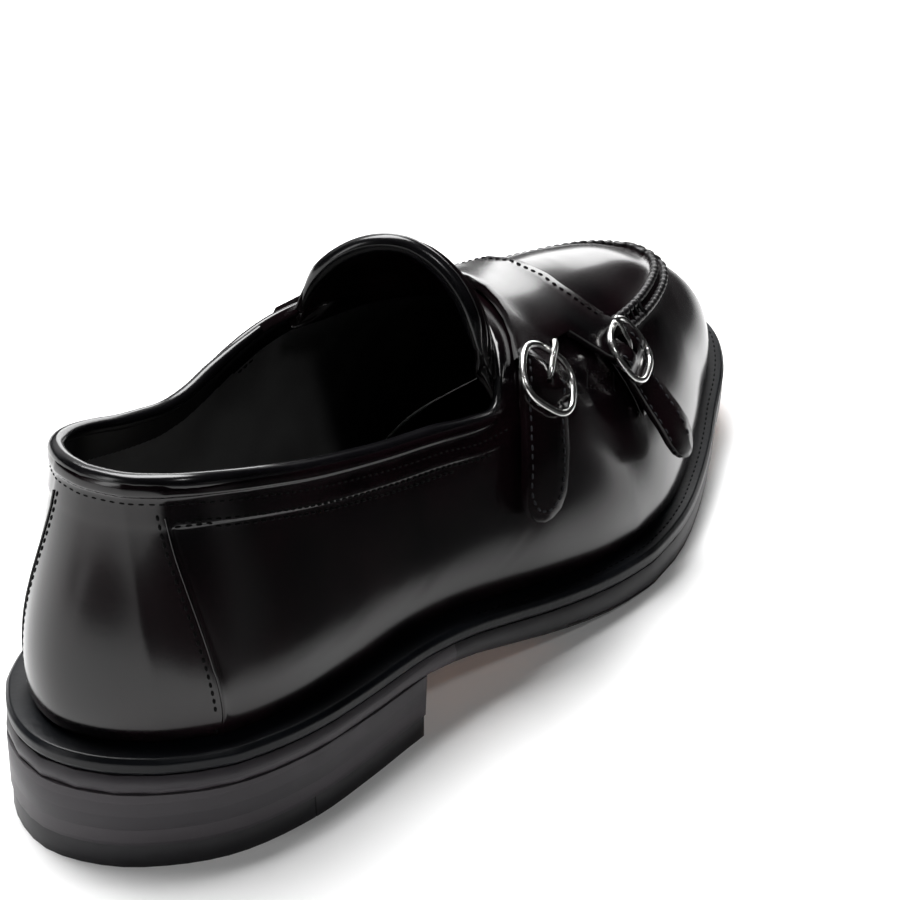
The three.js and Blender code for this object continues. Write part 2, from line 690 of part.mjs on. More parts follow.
// Tongue: tucked under the throat edge of the upper, then rising to its own padded free edge.
function buildTongue() {
  const tuck = tableReader(tongueTuckRows, "angle");
  const curve = new THREE.CatmullRomCurve3(tongueEdgeRows.map((row) => {
    const x = row.x * lengthScale;
    return new THREE.Vector3(x, row.y * widthScale, weltTop(x) + row.up * heightScale);
  }), false, "centripetal");
  const count = 14;
  const free = curve.getSpacedPoints(count);
  const first = tongueTuckRows[0].angle;
  const last = tongueTuckRows[tongueTuckRows.length - 1].angle;
  const outer = [];
  const inner = [];
  for (let k = 0; k <= count; k += 1) {
    const angle = mix(first, last, k / count);
    const edge = tuck(angle, "x") * lengthScale;
    const outs = [];
    const ins = [];
    for (const ahead of [TONGUE_TUCK, TONGUE_TUCK * 0.62, TONGUE_TUCK * 0.27]) {
      const { point, normal } = faceAt(innerFace, edge + ahead, angle);
      outs.push(point.clone().addScaledVector(normal, -CLEARANCE * 1.5));
      ins.push(point.clone().addScaledVector(normal, -CLEARANCE * 1.5 - TONGUE_THICKNESS));
    }
    const from = outs[2];
    const leave = outs[2].clone().sub(outs[1]).normalize();
    const to = free[k];
    const span = from.distanceTo(to);
    const body = new THREE.CubicBezierCurve3(
      from,
      from.clone().addScaledVector(leave, Math.min(span * 0.4, 14)),
      to.clone().add(new THREE.Vector3(span * 0.36, 0, -span * 0.12)),
      to,
    );
    const base = faceAt(innerFace, edge + TONGUE_TUCK * 0.27, angle).normal;
    for (const w of [0.16, 0.34, 0.52, 0.7, 0.84, 0.93, 1]) {
      const point = body.getPoint(w);
      const away = new THREE.Vector3(0.35, point.y * 0.9, point.z - axisHeight).normalize();
      const normal = base.clone().lerp(away, smooth(0, 0.6, w)).normalize();
      const pad = 1 + 0.5 * smooth(0.6, 0.8, w) - 0.6 * smooth(0.93, 1, w);
      outs.push(point.clone());
      ins.push(point.clone().addScaledVector(normal, -TONGUE_THICKNESS * pad));
    }
    outer.push(outs);
    inner.push(ins);
  }
  const trimmed = toSolid(sheetSolid(outer, inner)).subtract(toSolid(grownShell(CLEARANCE)));
  return fromSolid(largest(trimmed));
}

// Saddle leaf over the instep that divides into two straps.
const acrossStrap = [0, 0.34, 0.67, 1];
const strapWaypoints = (name) => new THREE.CatmullRomCurve3(
  strapRows[name].map((row) => faceAt(outerFace, row.x * lengthScale, row.angle).point),
  false,
  "centripetal",
);
const strapLines = { rear: strapWaypoints("rear"), front: strapWaypoints("front") };

function strapFrame(name, distance) {
  const line = strapLines[name];
  const share = clamp01(distance / line.getLength());
  const centre = line.getPointAt(share);
  const along = line.getTangentAt(share);
  const { point, normal } = conform(centre, 0);
  const down = along.clone().addScaledVector(normal, -along.dot(normal)).normalize();
  const ahead = new THREE.Vector3().crossVectors(down, normal).normalize();
  if (ahead.x < 0) ahead.negate();
  return { point, normal, down, ahead };
}

function strapLift(name, distance) {
  const from = distance - BUCKLE_AT[name];
  const overBar = CENTRE_BAR_HEIGHT + CENTRE_BAR_RADIUS + CLEARANCE * 2.5 - STRAP_SEAT;
  const hump = overBar * Math.exp(-((Math.max(0, Math.abs(from) - 1) / 4.5) ** 2));
  const overTab = (TAB_THICKNESS + CLEARANCE * 2) * smooth(-5, 1, from);
  const free = TIP_LIFT[name] * smooth(8, strapLines[name].getLength() - BUCKLE_AT[name], from);
  return STRAP_SEAT + Math.max(hump, overTab) + free;
}

function buildSaddle() {
  const saddle = tableReader(saddleRows, "angle");
  const low = [];
  const high = [];
  const joined = [];
  const put = (points, normals, web) => {
    low.push(points);
    high.push(points.map((p, i) => p.clone().addScaledVector(normals[i], STRAP_THICKNESS)));
    joined.push(web);
  };
  const splitAngle = saddleRows[saddleRows.length - 1].angle;
  const firstAngle = saddleRows[0].angle;
  const steps = 21;
  for (let i = 0; i <= steps; i += 1) {
    const angle = mix(firstAngle, splitAngle, i / steps);
    const [rear, rearIn, frontIn, front] = ["rear", "rearIn", "frontIn", "front"]
      .map((name) => saddle(angle, name) * lengthScale);
    const xs = acrossStrap.map((w) => mix(rear, rearIn, w))
      .concat([(rearIn + frontIn) / 2], acrossStrap.map((w) => mix(frontIn, front, w)));
    const rows = xs.map((x) => faceAt(outerFace, x, angle, STRAP_SEAT));
    put(rows.map((row) => row.point), rows.map((row) => row.normal), true);
  }
  const rowsAfter = 15;
  for (let i = 0; i <= rowsAfter; i += 1) {
    const straps = ["rear", "front"].map((name) => {
      const length = strapLines[name].getLength();
      const distance = i <= 9
        ? mix(0, BUCKLE_AT[name] + 10, i / 9)
        : mix(BUCKLE_AT[name] + 10, length, 1 - (1 - (i - 9) / (rowsAfter - 9)) ** 1.7);
      const { point, ahead } = strapFrame(name, distance);
      const toTip = length - distance;
      const round = STRAP_WIDTH / 2;
      const cut = toTip < round ? Math.sqrt(Math.max(0.04, 1 - (1 - toTip / round) ** 2)) : 1;
      const halfWidth = (STRAP_WIDTH / 2) * cut;
      const lift = strapLift(name, distance);
      return acrossStrap.map((w) => {
        const spot = point.clone().addScaledVector(ahead, (2 * w - 1) * halfWidth);
        return conform(spot, lift);
      });
    });
    const [rear, front] = straps;
    const inner = rear[rear.length - 1];
    const middle = { point: inner.point.clone().lerp(front[0].point, 0.5), normal: inner.normal };
    const row = [...rear, middle, ...front];
    put(row.map((spot) => spot.point), row.map((spot) => spot.normal), false);
  }
  const faces = new Faces();
  const live = (i, j) => i >= 0 && j >= 0 && i + 1 < low.length && j < 8
    && (j === 3 || j === 4 ? joined[i + 1] : true);
  for (let i = 0; i + 1 < low.length; i += 1) {
    for (let j = 0; j < 8; j += 1) {
      if (!live(i, j)) continue;
      faces.quad(high[i][j], high[i + 1][j], high[i + 1][j + 1], high[i][j + 1]);
      faces.quad(low[i][j], low[i][j + 1], low[i + 1][j + 1], low[i + 1][j]);
      if (!live(i, j - 1)) faces.quad(high[i][j], low[i][j], low[i + 1][j], high[i + 1][j]);
      if (!live(i, j + 1)) {
        faces.quad(high[i + 1][j + 1], low[i + 1][j + 1], low[i][j + 1], high[i][j + 1]);
      }
      if (!live(i - 1, j)) faces.quad(high[i][j + 1], low[i][j + 1], low[i][j], high[i][j]);
      if (!live(i + 1, j)) {
        faces.quad(high[i + 1][j], low[i + 1][j], low[i + 1][j + 1], high[i + 1][j + 1]);
      }
    }
  }
  let solid = toSolid(faces.geometry());
  for (const name of ["rear", "front"]) {
    const slot = new THREE.BoxGeometry(2 * (PRONG_RADIUS + 0.6), 7, 12);
    slot.translate(0, -1.6, 3);
    slot.applyMatrix4(buckleMatrix(name));
    solid = solid.subtract(toSolid(slot.toNonIndexed())).subtract(toSolid(buckleFrame(name, CLEARANCE)));
  }
  return fromSolid(largest(solid));
}

// Buckles: local x across the strap, y down along it, z away from the leather.
function buckleMatrix(name) {
  const { point, normal, down } = strapFrame(name, BUCKLE_AT[name]);
  const across = new THREE.Vector3().crossVectors(down, normal);
  return new THREE.Matrix4().makeBasis(across, down, normal).setPosition(point);
}

function loopTube(points, radius, sides) {
  const faces = new Faces();
  const n = points.length;
  const rings = points.map((p, i) => {
    const along = points[(i + 1) % n].clone().sub(points[(i + n - 1) % n]).normalize();
    const up = new THREE.Vector3(0, 0, 1);
    const out = new THREE.Vector3().crossVectors(along, up).normalize();
    const lift = new THREE.Vector3().crossVectors(out, along).normalize();
    const list = [];
    for (let j = 0; j < sides; j += 1) {
      const a = (2 * Math.PI * (j + 0.5)) / sides;
      const spoke = out.clone().multiplyScalar(radius * Math.cos(a));
      spoke.addScaledVector(lift, radius * Math.sin(a));
      list.push(spoke.add(p));
    }
    return list;
  });
  for (let i = 0; i < n; i += 1) {
    const next = rings[(i + 1) % n];
    for (let j = 0; j < sides; j += 1) {
      const k = (j + 1) % sides;
      faces.quad(rings[i][j], next[j], next[k], rings[i][k]);
    }
  }
  return faces.geometry();
}

function rod(points, radius, sides, steps) {
  const shape = new THREE.Shape();
  shape.absarc(0, 0, radius, 0, Math.PI * 2, false);
  return new THREE.ExtrudeGeometry(shape, {
    steps,
    curveSegments: sides,
    bevelEnabled: false,
    extrudePath: new THREE.CatmullRomCurve3(points, false, "centripetal"),
  });
}

function buckleFrame(name, grown = 0) {
  const a = BUCKLE_WIDTH / 2 - BAR_RADIUS;
  const b = BUCKLE_LENGTH / 2 - BAR_RADIUS;
  const corner = BUCKLE_CORNER;
  const points = [];
  for (let q = 0; q < 4; q += 1) {
    const cx = (q === 0 || q === 3 ? 1 : -1) * (a - corner);
    const cy = (q < 2 ? 1 : -1) * (b - corner);
    for (let i = 0; i <= 4; i += 1) {
      const turn = ((q + i / 4) * Math.PI) / 2;
      const [x, y] = [cx + corner * Math.cos(turn), cy + corner * Math.sin(turn)];
      points.push(new THREE.Vector3(x, y, FRAME_HEIGHT));
    }
    const middle = [[0, b], [-a, 0], [0, -b], [a, 0]][q];
    points.push(new THREE.Vector3(middle[0], middle[1], FRAME_HEIGHT));
  }
  const loop = toSolid(loopTube(points, BAR_RADIUS + grown, 6));
  const low = CENTRE_BAR_HEIGHT;
  const bar = toSolid(rod([
    new THREE.Vector3(-a, 0, FRAME_HEIGHT), new THREE.Vector3(-a + 0.4, 0, FRAME_HEIGHT - 0.9),
    new THREE.Vector3(-a + 1.6, 0, low + 0.2), new THREE.Vector3(-a + 3.6, 0, low),
    new THREE.Vector3(a - 3.6, 0, low), new THREE.Vector3(a - 1.6, 0, low + 0.2),
    new THREE.Vector3(a - 0.4, 0, FRAME_HEIGHT - 0.9), new THREE.Vector3(a, 0, FRAME_HEIGHT),
  ], CENTRE_BAR_RADIUS + grown, 3, 9));
  const geometry = fromSolid(loop.add(bar));
  geometry.applyMatrix4(buckleMatrix(name));
  return geometry;
}

function buckleProng(name) {
  const rest = FRAME_HEIGHT + BAR_RADIUS + PRONG_RADIUS + CLEARANCE;
  const reach = BUCKLE_LENGTH / 2 - BAR_RADIUS;
  const start = CENTRE_BAR_HEIGHT + BAR_RADIUS + PRONG_RADIUS + CLEARANCE;
  const geometry = rod([
    new THREE.Vector3(0, 0, start),
    new THREE.Vector3(0, -2.4, start + 1.3),
    new THREE.Vector3(0, -5, rest - 0.9),
    new THREE.Vector3(0, -reach, rest),
    new THREE.Vector3(0, -reach - 2.2, rest - 0.2),
  ], PRONG_RADIUS, 3, 7);
  geometry.applyMatrix4(buckleMatrix(name));
  return geometry;
}

// Leather tab under each strap that carries the buckle's centre bar.
function buckleTab(name) {
  const outer = [];
  const inner = [];
  for (let i = 0; i <= 6; i += 1) {
    const distance = BUCKLE_AT[name] - 2.5 + (TAB_LENGTH * i) / 6;
    const { point, ahead } = strapFrame(name, distance);
    const outs = [];
    const ins = [];
    for (const w of [-1, -0.33, 0.33, 1]) {
      const row = conform(point.clone().addScaledVector(ahead, w * TAB_WIDTH * 0.5), CLEARANCE * 1.2);
      ins.push(row.point);
      outs.push(row.point.clone().addScaledVector(row.normal, TAB_THICKNESS));
    }
    outer.push(outs);
    inner.push(ins);
  }
  return sheetSolid(inner, outer);
}

// Closed solid between an outer and an inner grid of points.
function sheetSolid(outer, inner) {
  const faces = new Faces();
  const n = outer.length;
  const m = outer[0].length;
  for (let k = 0; k + 1 < n; k += 1) {
    for (let j = 0; j + 1 < m; j += 1) {
      faces.quad(outer[k][j], outer[k][j + 1], outer[k + 1][j + 1], outer[k + 1][j]);
      faces.quad(inner[k][j], inner[k + 1][j], inner[k + 1][j + 1], inner[k][j + 1]);
    }
    faces.quad(outer[k][0], outer[k + 1][0], inner[k + 1][0], inner[k][0]);
    faces.quad(outer[k][m - 1], inner[k][m - 1], inner[k + 1][m - 1], outer[k + 1][m - 1]);
  }
  for (let j = 0; j + 1 < m; j += 1) {
    faces.quad(outer[0][j], inner[0][j], inner[0][j + 1], outer[0][j + 1]);
    faces.quad(outer[n - 1][j], outer[n - 1][j + 1], inner[n - 1][j + 1], inner[n - 1][j]);
  }
  return faces.geometry();
}

// Prism between two outlines of the same length with earcut covers.
function prism(low, high) {
  const faces = new Faces();
  const flat = low.map((p) => new THREE.Vector2(p.x, p.y));
  const covers = THREE.ShapeUtils.triangulateShape(flat, []);
  for (const [a, b, c] of covers) {
    faces.tri(high[a], high[b], high[c]);
    faces.tri(low[c], low[b], low[a]);
  }
  strip(faces, low, high);
  return faces.geometry();
}

// Plan outline of the heel, from the medial breast corner round the back to the lateral one.
function heelOutline(inset) {
  const points = [];
  const breast = (y) => HEEL_LENGTH - 1 + 5.5 * smooth(-0.3, 1, y / 36) + 1.2 * smooth(0.2, 1, -y / 40);
  const run = (side) => {
    const list = [];
    for (let i = 0; i <= 26; i += 1) {
      const share = (i / 26) * 0.36;
      const p = outlineAt(side, share).addScaledVector(inwardAt(side, share), inset);
      if (p.x >= breast(p.y) - 1.5) break;
      list.push(p);
    }
    return list;
  };
  const lateral = run("lateral");
  const medial = run("medial");
  points.push(...lateral);
  const a = lateral[lateral.length - 1];
  const b = medial[medial.length - 1];
  for (let i = 0; i <= 10; i += 1) {
    const y = mix(a.y, b.y, i / 10);
    points.push(new THREE.Vector3(breast(y), y, 0));
  }
  points.push(...medial.slice(1).reverse());
  return points;
}

function heelLayer(lowInset, highInset, lowZ, highZ) {
  const low = heelOutline(lowInset);
  const high = heelOutline(highInset);
  low.forEach((p) => { p.z = lowZ(p.x); });
  high.forEach((p) => { p.z = highZ(p.x); });
  return prism(low, high);
}

// Helpers between display geometry and solid cutting.
function toSolid(geometry) {
  const at = geometry.getAttribute("position");
  const seen = new Map();
  const verts = [];
  const index = [];
  for (let i = 0; i < at.count; i += 1) {
    const p = [at.getX(i), at.getY(i), at.getZ(i)];
    const key = p.map((v) => Math.round(v * 1e4)).join(" ");
    if (!seen.has(key)) {
      seen.set(key, verts.length / 3);
      verts.push(...p);
    }
    index.push(seen.get(key));
  }
  const tris = [];
  for (let i = 0; i < index.length; i += 3) {
    const [a, b, c] = [index[i], index[i + 1], index[i + 2]];
    if (a !== b && b !== c && c !== a) tris.push(a, b, c);
  }
  return new wasm.Manifold(new wasm.Mesh({
    numProp: 3,
    vertProperties: new Float32Array(verts),
    triVerts: new Uint32Array(tris),
  }));
}

function largest(solid) {
  return solid.decompose().sort((a, b) => b.volume() - a.volume())[0];
}

function fromSolid(solid) {
  const mesh = solid.getMesh();
  const geometry = new THREE.BufferGeometry();
  geometry.setAttribute("position", new THREE.BufferAttribute(new Float32Array(mesh.vertProperties), 3));
  geometry.setIndex(Array.from(mesh.triVerts));
  return geometry.toNonIndexed();
}

function plate(points, low, high) {
  const shape = new THREE.Shape(points.map(([x, y]) => new THREE.Vector2(x, y)));
  const geometry = new THREE.ExtrudeGeometry(shape, { depth: high - low, bevelEnabled: false });
  geometry.translate(0, 0, low);
  return geometry;
}

// Plan region of the forefoot rubber, grown by a margin, as an upright prism.
function inlayRegion(margin) {
  const rear = tableReader(inlayRearRows, "y");
  const side = inlayRearRows[inlayRearRows.length - 1].y;
  const points = [];
  for (let i = 0; i <= 20; i += 1) {
    const y = mix(-side, side, i / 20);
    points.push([rear(y, "x") * lengthScale - margin, y * widthScale]);
  }
  points.push([inlayFront.medial * lengthScale + margin, side * widthScale]);
  points.push([inlayFront.lateral * lengthScale + margin, -side * widthScale]);
  return plate(points.reverse(), -HEEL_HEIGHT, HEEL_HEIGHT + COLLAR_HEIGHT);
}

const leather = (color, roughness) => new THREE.MeshStandardMaterial({ color, roughness });
const group = new THREE.Group();
group.name = "monk_strap_shoe";
const add = (name, geometry, material) => {
  const mesh = new THREE.Mesh(geometry, material);
  mesh.name = name;
  group.add(mesh);
};

// Outsole with the recess for its rubber inlay, and the inlay itself.
const soleSide = (low, high) => [
  ring(() => 1, low),
  ring(() => 0.3, (x) => low(x) + 0.8),
  ring(() => 0, (x) => mix(low(x), high(x), 0.4)),
  ring(() => 0, (x) => mix(low(x), high(x), 0.7)),
  ring(() => 0.8, high),
];
const outsoleBody = toSolid(ringSolid(soleSide(underHeight, outsoleTop)));
const recessTool = toSolid(ringSolid([
  ring(() => -4, (x) => underHeight(x) - 3),
  ring(() => -4, (x) => underHeight(x) + RUBBER_INLAY + CLEARANCE),
])).intersect(toSolid(inlayRegion(CLEARANCE)));
add("outsole", fromSolid(outsoleBody.subtract(recessTool)), leather(0x7a4a26, 0.5));
const inlayPlate = toSolid(ringSolid([
  ring(() => 1, underHeight),
  ring(() => 0.3, (x) => underHeight(x) + 0.8),
  ring(() => 0.15, (x) => underHeight(x) + RUBBER_INLAY),
]));
add("forefoot_rubber", fromSolid(inlayPlate.intersect(toSolid(inlayRegion(0)))), leather(0x111111, 0.8));

// Heel: stacked block, leather top piece and rubber quarter behind it.
add("heel_block", heelLayer(0.3, 0.3, () => TOP_LIFT + CLEARANCE, (x) => underHeight(x) - CLEARANCE * 1.5),
  leather(0x1a1412, 0.4));
const lift = toSolid(heelLayer(0.1, 0.3, () => 0, () => TOP_LIFT));
const cutLine = (shift) => {
  const front = heelRubberRows.map(({ x, y }) => [x * lengthScale + shift, y * widthScale]);
  const [first, last] = [front[0][1], front[front.length - 1][1]];
  return [[-HEEL_LENGTH, first], ...front, [-HEEL_LENGTH, last]];
};
const rubberZone = toSolid(plate(cutLine(0), -5, TOP_LIFT + 5));
const leatherZone = toSolid(plate(cutLine(CLEARANCE), -5, TOP_LIFT + 5));
add("heel_rubber", fromSolid(lift.intersect(rubberZone)), leather(0x101010, 0.8));
add("heel_top_piece", fromSolid(lift.subtract(leatherZone)), leather(0x8a5428, 0.5));

// Welt ring, insole and upper.
const ledgeIn = (x) => ledgeAt(x) + WALL + 1.4;
add("welt", hollowRingSolid([
  ring(() => 0.8, weltBottom),
  ring(() => 0, (x) => mix(weltBottom(x), weltTop(x), 0.25)),
  ring(() => 0, (x) => mix(weltBottom(x), weltTop(x), 0.75)),
  ring(() => 0.9, weltTop),
], [
  ring(ledgeIn, weltBottom),
  ring(ledgeIn, weltTop),
]), leather(0x0d0d10, 0.6));
const insoleInset = (x) => ledgeIn(x) + CLEARANCE;
add("insole", ringSolid([
  ring(insoleInset, weltBottom),
  ring(insoleInset, (x) => weltTop(x) + INSOLE_ABOVE_WELT),
]), leather(0x2b2b2d, 0.7));
add("upper", upperShell(sheets), leather(0x0b0a0c, 0.2));
add("tongue", buildTongue(), leather(0x0c0b0d, 0.3));
const metal = () => new THREE.MeshStandardMaterial({ color: 0xc8c8c8, roughness: 0.15, metalness: 1 });
add("saddle_straps", buildSaddle(), leather(0x0b0a0c, 0.2));
for (const name of ["rear", "front"]) {
  add(`buckle_frame_${name}`, buckleFrame(name), metal());
  add(`buckle_prong_${name}`, buckleProng(name), metal());
  add(`buckle_tab_${name}`, buckleTab(name), leather(0x0b0a0c, 0.4));
}

const box = new THREE.Box3().setFromObject(group);
for (const mesh of group.children) {
  mesh.geometry.translate(-(box.min.x + box.max.x) / 2, -(box.min.y + box.max.y) / 2, 0);
}
export default group;
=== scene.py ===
# Right-foot dress shoe with two buckled straps, finished over its solids. Toe +X, buckles -Y, up +Z.
import math

import bpy
import numpy as np
from mathutils import Matrix, Vector
from mathutils.bvhtree import BVHTree


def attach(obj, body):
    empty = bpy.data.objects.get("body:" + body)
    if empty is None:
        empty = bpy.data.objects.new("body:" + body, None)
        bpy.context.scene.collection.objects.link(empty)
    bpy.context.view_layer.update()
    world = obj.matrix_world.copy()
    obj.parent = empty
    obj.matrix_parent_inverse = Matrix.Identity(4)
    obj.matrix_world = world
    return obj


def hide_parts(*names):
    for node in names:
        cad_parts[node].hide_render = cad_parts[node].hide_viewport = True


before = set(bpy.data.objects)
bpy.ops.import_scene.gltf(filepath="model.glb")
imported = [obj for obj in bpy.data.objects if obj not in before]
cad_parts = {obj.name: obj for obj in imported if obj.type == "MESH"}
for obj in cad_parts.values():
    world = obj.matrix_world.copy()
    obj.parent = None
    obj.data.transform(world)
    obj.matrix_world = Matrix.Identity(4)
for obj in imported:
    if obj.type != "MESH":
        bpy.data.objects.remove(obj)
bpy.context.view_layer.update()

MM = 0.001
# Inner axis of the shoe, from which places on its skin are found, in millimetres.
AXIS_HEIGHT = 45.2
AXIS_SIDE = -0.9
HEEL_BACK = -152.5
STRAP_WIDTH = 15.5
# Distance between stitches of the fine seams, in metres.
FINE_PITCH = 0.0021

# Top edge of the upper from the heel back to the throat, in millimetres.
rim_lateral = [
    (-133.5, -0.9, 89.1), (-133.1, -4.2, 89.3), (-132.6, -7.6, 89.5), (-131.3, -11.6, 89.7),
    (-128.7, -15.8, 89.9), (-125.3, -19.5, 89.8), (-120.1, -22.6, 89.2), (-112.8, -24.9, 87.6),
    (-104.9, -26.1, 85.5), (-96.8, -26.8, 83.1), (-88.2, -27.4, 80.9), (-79.1, -28.0, 78.9),
    (-69.5, -28.7, 76.9), (-59.2, -29.5, 75.2), (-48.1, -30.7, 73.8), (-36.3, -31.8, 71.3),
    (-24.9, -32.4, 70.6), (-18.3, -29.0, 76.4), (-10.2, -21.3, 82.1), (-3.2, -10.4, 85.4),
]
rim_medial = [
    (-133.3, 2.0, 89.1), (-132.8, 5.1, 89.0), (-131.5, 8.9, 88.8), (-128.3, 13.8, 88.3),
    (-123.2, 17.4, 87.2), (-116.5, 20.0, 85.3), (-108.8, 21.6, 82.9), (-101.2, 22.4, 80.5),
    (-93.3, 22.8, 78.8), (-84.9, 23.1, 77.5), (-76.4, 23.1, 78.6), (-68.0, 23.1, 81.3),
    (-59.9, 22.6, 84.1), (-51.6, 21.6, 86.9), (-42.2, 19.7, 88.8), (-31.3, 16.9, 89.9),
    (-21.3, 13.8, 89.9), (-12.0, 10.3, 89.6), (-4.4, 6.3, 88.5),
]
# Front edges of the counter, from the welt up to the rim.
counter_lateral = [
    (-124.7, -30.4, 29.2), (-125.3, -30.8, 37.2), (-126.0, -30.0, 44.9), (-126.6, -28.3, 52.3),
    (-127.1, -26.0, 59.6), (-127.5, -23.4, 66.9), (-127.8, -20.9, 74.3), (-127.8, -18.8, 82.0),
    (-127.5, -17.4, 89.9),
]
counter_medial = [
    (-135.9, 18.1, 29.6), (-136.4, 18.5, 37.5), (-136.4, 17.9, 45.0), (-136.1, 16.5, 52.2),
    (-135.4, 14.6, 59.3), (-134.5, 12.5, 66.3), (-133.6, 10.5, 73.5), (-132.7, 8.8, 80.9),
    (-132.0, 7.6, 88.8),
]
# Apron seam round the vamp, lateral side to medial side.
apron_seam = [
    (53.3, -23.0, 63.9), (61.2, -21.7, 63.3), (69.4, -19.9, 62.8), (77.5, -17.7, 62.2),
    (85.3, -15.1, 61.7), (92.7, -12.4, 61.5), (99.1, -9.2, 61.4), (104.4, -5.6, 61.2), (107.5, -1.5, 61.5),
    (108.3, 2.3, 61.9), (108.8, 5.6, 62.4), (108.4, 8.5, 61.9), (107.8, 12.1, 61.5), (105.0, 16.0, 61.4),
    (99.8, 19.4, 61.6), (93.3, 22.4, 61.7), (86.0, 25.0, 61.9), (78.3, 27.2, 62.2), (70.1, 28.8, 62.7),
    (61.8, 29.9, 63.1), (53.8, 30.6, 63.6),
]
# Free edge of the tongue, medial side to lateral side.
tongue_edge = [
    (-41.1, 18.9, 87.6), (-39.4, 17.1, 95.4), (-37.4, 10.1, 104.6), (-34.0, 1.6, 110.0),
    (-30.2, -6.9, 110.6), (-27.4, -15.4, 106.2), (-25.9, -23.4, 97.2), (-25.4, -26.4, 88.4),
    (-24.9, -26.9, 80.2),
]
# Throat edge in front of it, point for point.
tongue_base = [
    (-31.3, 16.9, 89.9), (-21.3, 13.8, 89.9), (-12.0, 10.3, 89.6), (-4.4, 6.3, 88.5), (2.5, 2.1, 87.2),
    (-3.2, -10.4, 85.4), (-10.2, -21.3, 82.1), (-18.3, -29.0, 76.4), (-24.9, -32.4, 70.6),
]
# Centre lines of the straps, the direction of their width, and the way down.
strap_lines = {
    "rear": [
        ((-8.8, -33.1, 72.0), (0.676, -0.411, -0.612)),
        ((-11.7, -35.4, 68.8), (0.876, -0.241, -0.417)),
        ((-13.9, -37.6, 64.9), (0.909, -0.217, -0.357)),
        ((-16.0, -39.4, 60.9), (0.912, -0.221, -0.346)),
        ((-17.9, -40.7, 56.5), (0.919, -0.217, -0.330)),
        ((-19.7, -41.9, 52.1), (0.911, -0.221, -0.349)),
        ((-21.6, -42.5, 47.6), (0.914, -0.194, -0.357)),
        ((-23.5, -42.8, 43.0), (0.917, -0.174, -0.360)),
    ],
    "front": [
        ((39.9, -26.1, 62.5), (0.831, 0.489, 0.264)),
        ((41.9, -29.1, 58.7), (0.946, 0.317, 0.061)),
        ((42.8, -32.1, 54.6), (0.964, 0.266, -0.004)),
        ((43.5, -35.2, 50.4), (0.973, 0.225, -0.056)),
        ((43.8, -37.8, 46.0), (0.973, 0.226, -0.040)),
        ((44.4, -40.5, 41.4), (0.971, 0.240, 0.005)),
        ((44.9, -42.4, 36.7), (0.973, 0.230, 0.021)),
        ((45.5, -44.3, 32.0), (0.977, 0.212, 0.022)),
    ],
}
# Edges of the saddle leaf by angle round the inner axis of the shoe.
saddle_front = [
    (-34, 31.5), (-10, 33.5), (20, 35.5), (50, 37), (70, 37.5), (88, 37.5), (102, 38), (116, 40), (130, 45),
]
saddle_rear = [
    (-34, -33.5), (-10, -37.5), (20, -40.5), (50, -42.5), (62, -40.5), (70, -22.5), (78, -5.5), (88, 5),
    (102, 3.5), (116, -2), (130, -11.5),
]
# Plan outline of the sole, heel back to toe.
outline_lateral = [
    (-152.5, -0.9), (-148.8, -14.7), (-140.2, -26.1), (-128.9, -34.9), (-115.5, -40.0), (-101.3, -42.5),
    (-86.9, -43.1), (-72.5, -43.2), (-58.2, -44.0), (-43.8, -45.5), (-29.5, -47.1), (-15.3, -49.2),
    (-1.0, -51.4), (13.2, -53.2), (27.6, -53.9), (41.9, -52.7), (56.0, -49.8), (69.7, -45.4),
    (83.3, -40.5), (96.6, -35.0), (109.7, -29.1), (123.0, -23.7), (135.7, -16.9), (146.8, -7.8),
    (152.5, 5.1),
]
outline_medial = [
    (-152.5, -0.9), (-148.4, 12.8), (-138.8, 23.5), (-126.3, 30.6), (-112.3, 33.9), (-97.9, 35.2),
    (-83.5, 35.0), (-69.1, 33.8), (-54.8, 32.0), (-40.4, 30.5), (-26.0, 30.2), (-11.7, 32.0), (1.8, 37.1),
    (14.6, 43.6), (27.8, 49.6), (41.8, 53.0), (56.2, 54.0), (70.6, 52.9), (84.8, 50.4), (98.7, 46.6),
    (112.3, 41.7), (125.5, 35.9), (138.1, 28.9), (148.2, 18.7), (152.5, 5.1),
]


# Finishes
def effect_group(name, inputs, outputs):
    """An empty node group with float inputs and outputs, and its two end nodes."""
    group = bpy.data.node_groups.new(name, "ShaderNodeTree")
    for label, value in inputs:
        socket = group.interface.new_socket(name=label, in_out="INPUT", socket_type="NodeSocketFloat")
        socket.default_value = value
    for label in outputs:
        group.interface.new_socket(name=label, in_out="OUTPUT", socket_type="NodeSocketFloat")
    return group, group.nodes.new("NodeGroupInput"), group.nodes.new("NodeGroupOutput")


def math_node(tree, operation, a, b=None, clamp=False):
    node = tree.nodes.new("ShaderNodeMath")
    node.operation = operation
    node.use_clamp = clamp
    for slot, value in ((0, a), (1, b)):
        if value is None:
            continue
        if isinstance(value, (int, float)):
            node.inputs[slot].default_value = value
        else:
            tree.links.new(value, node.inputs[slot])
    return node.outputs[0]


def ranged(tree, value, low, high, to_low=0.0, to_high=1.0, soft=False):
    """A value brought from one range to another and held inside it."""
    node = tree.nodes.new("ShaderNodeMapRange")
    if soft:
        node.interpolation_type = "SMOOTHSTEP"
    for label, number in (("From Min", low), ("From Max", high), ("To Min", to_low), ("To Max", to_high)):
        node.inputs[label].default_value = number
    tree.links.new(value, node.inputs["Value"])
    return node.outputs[0]


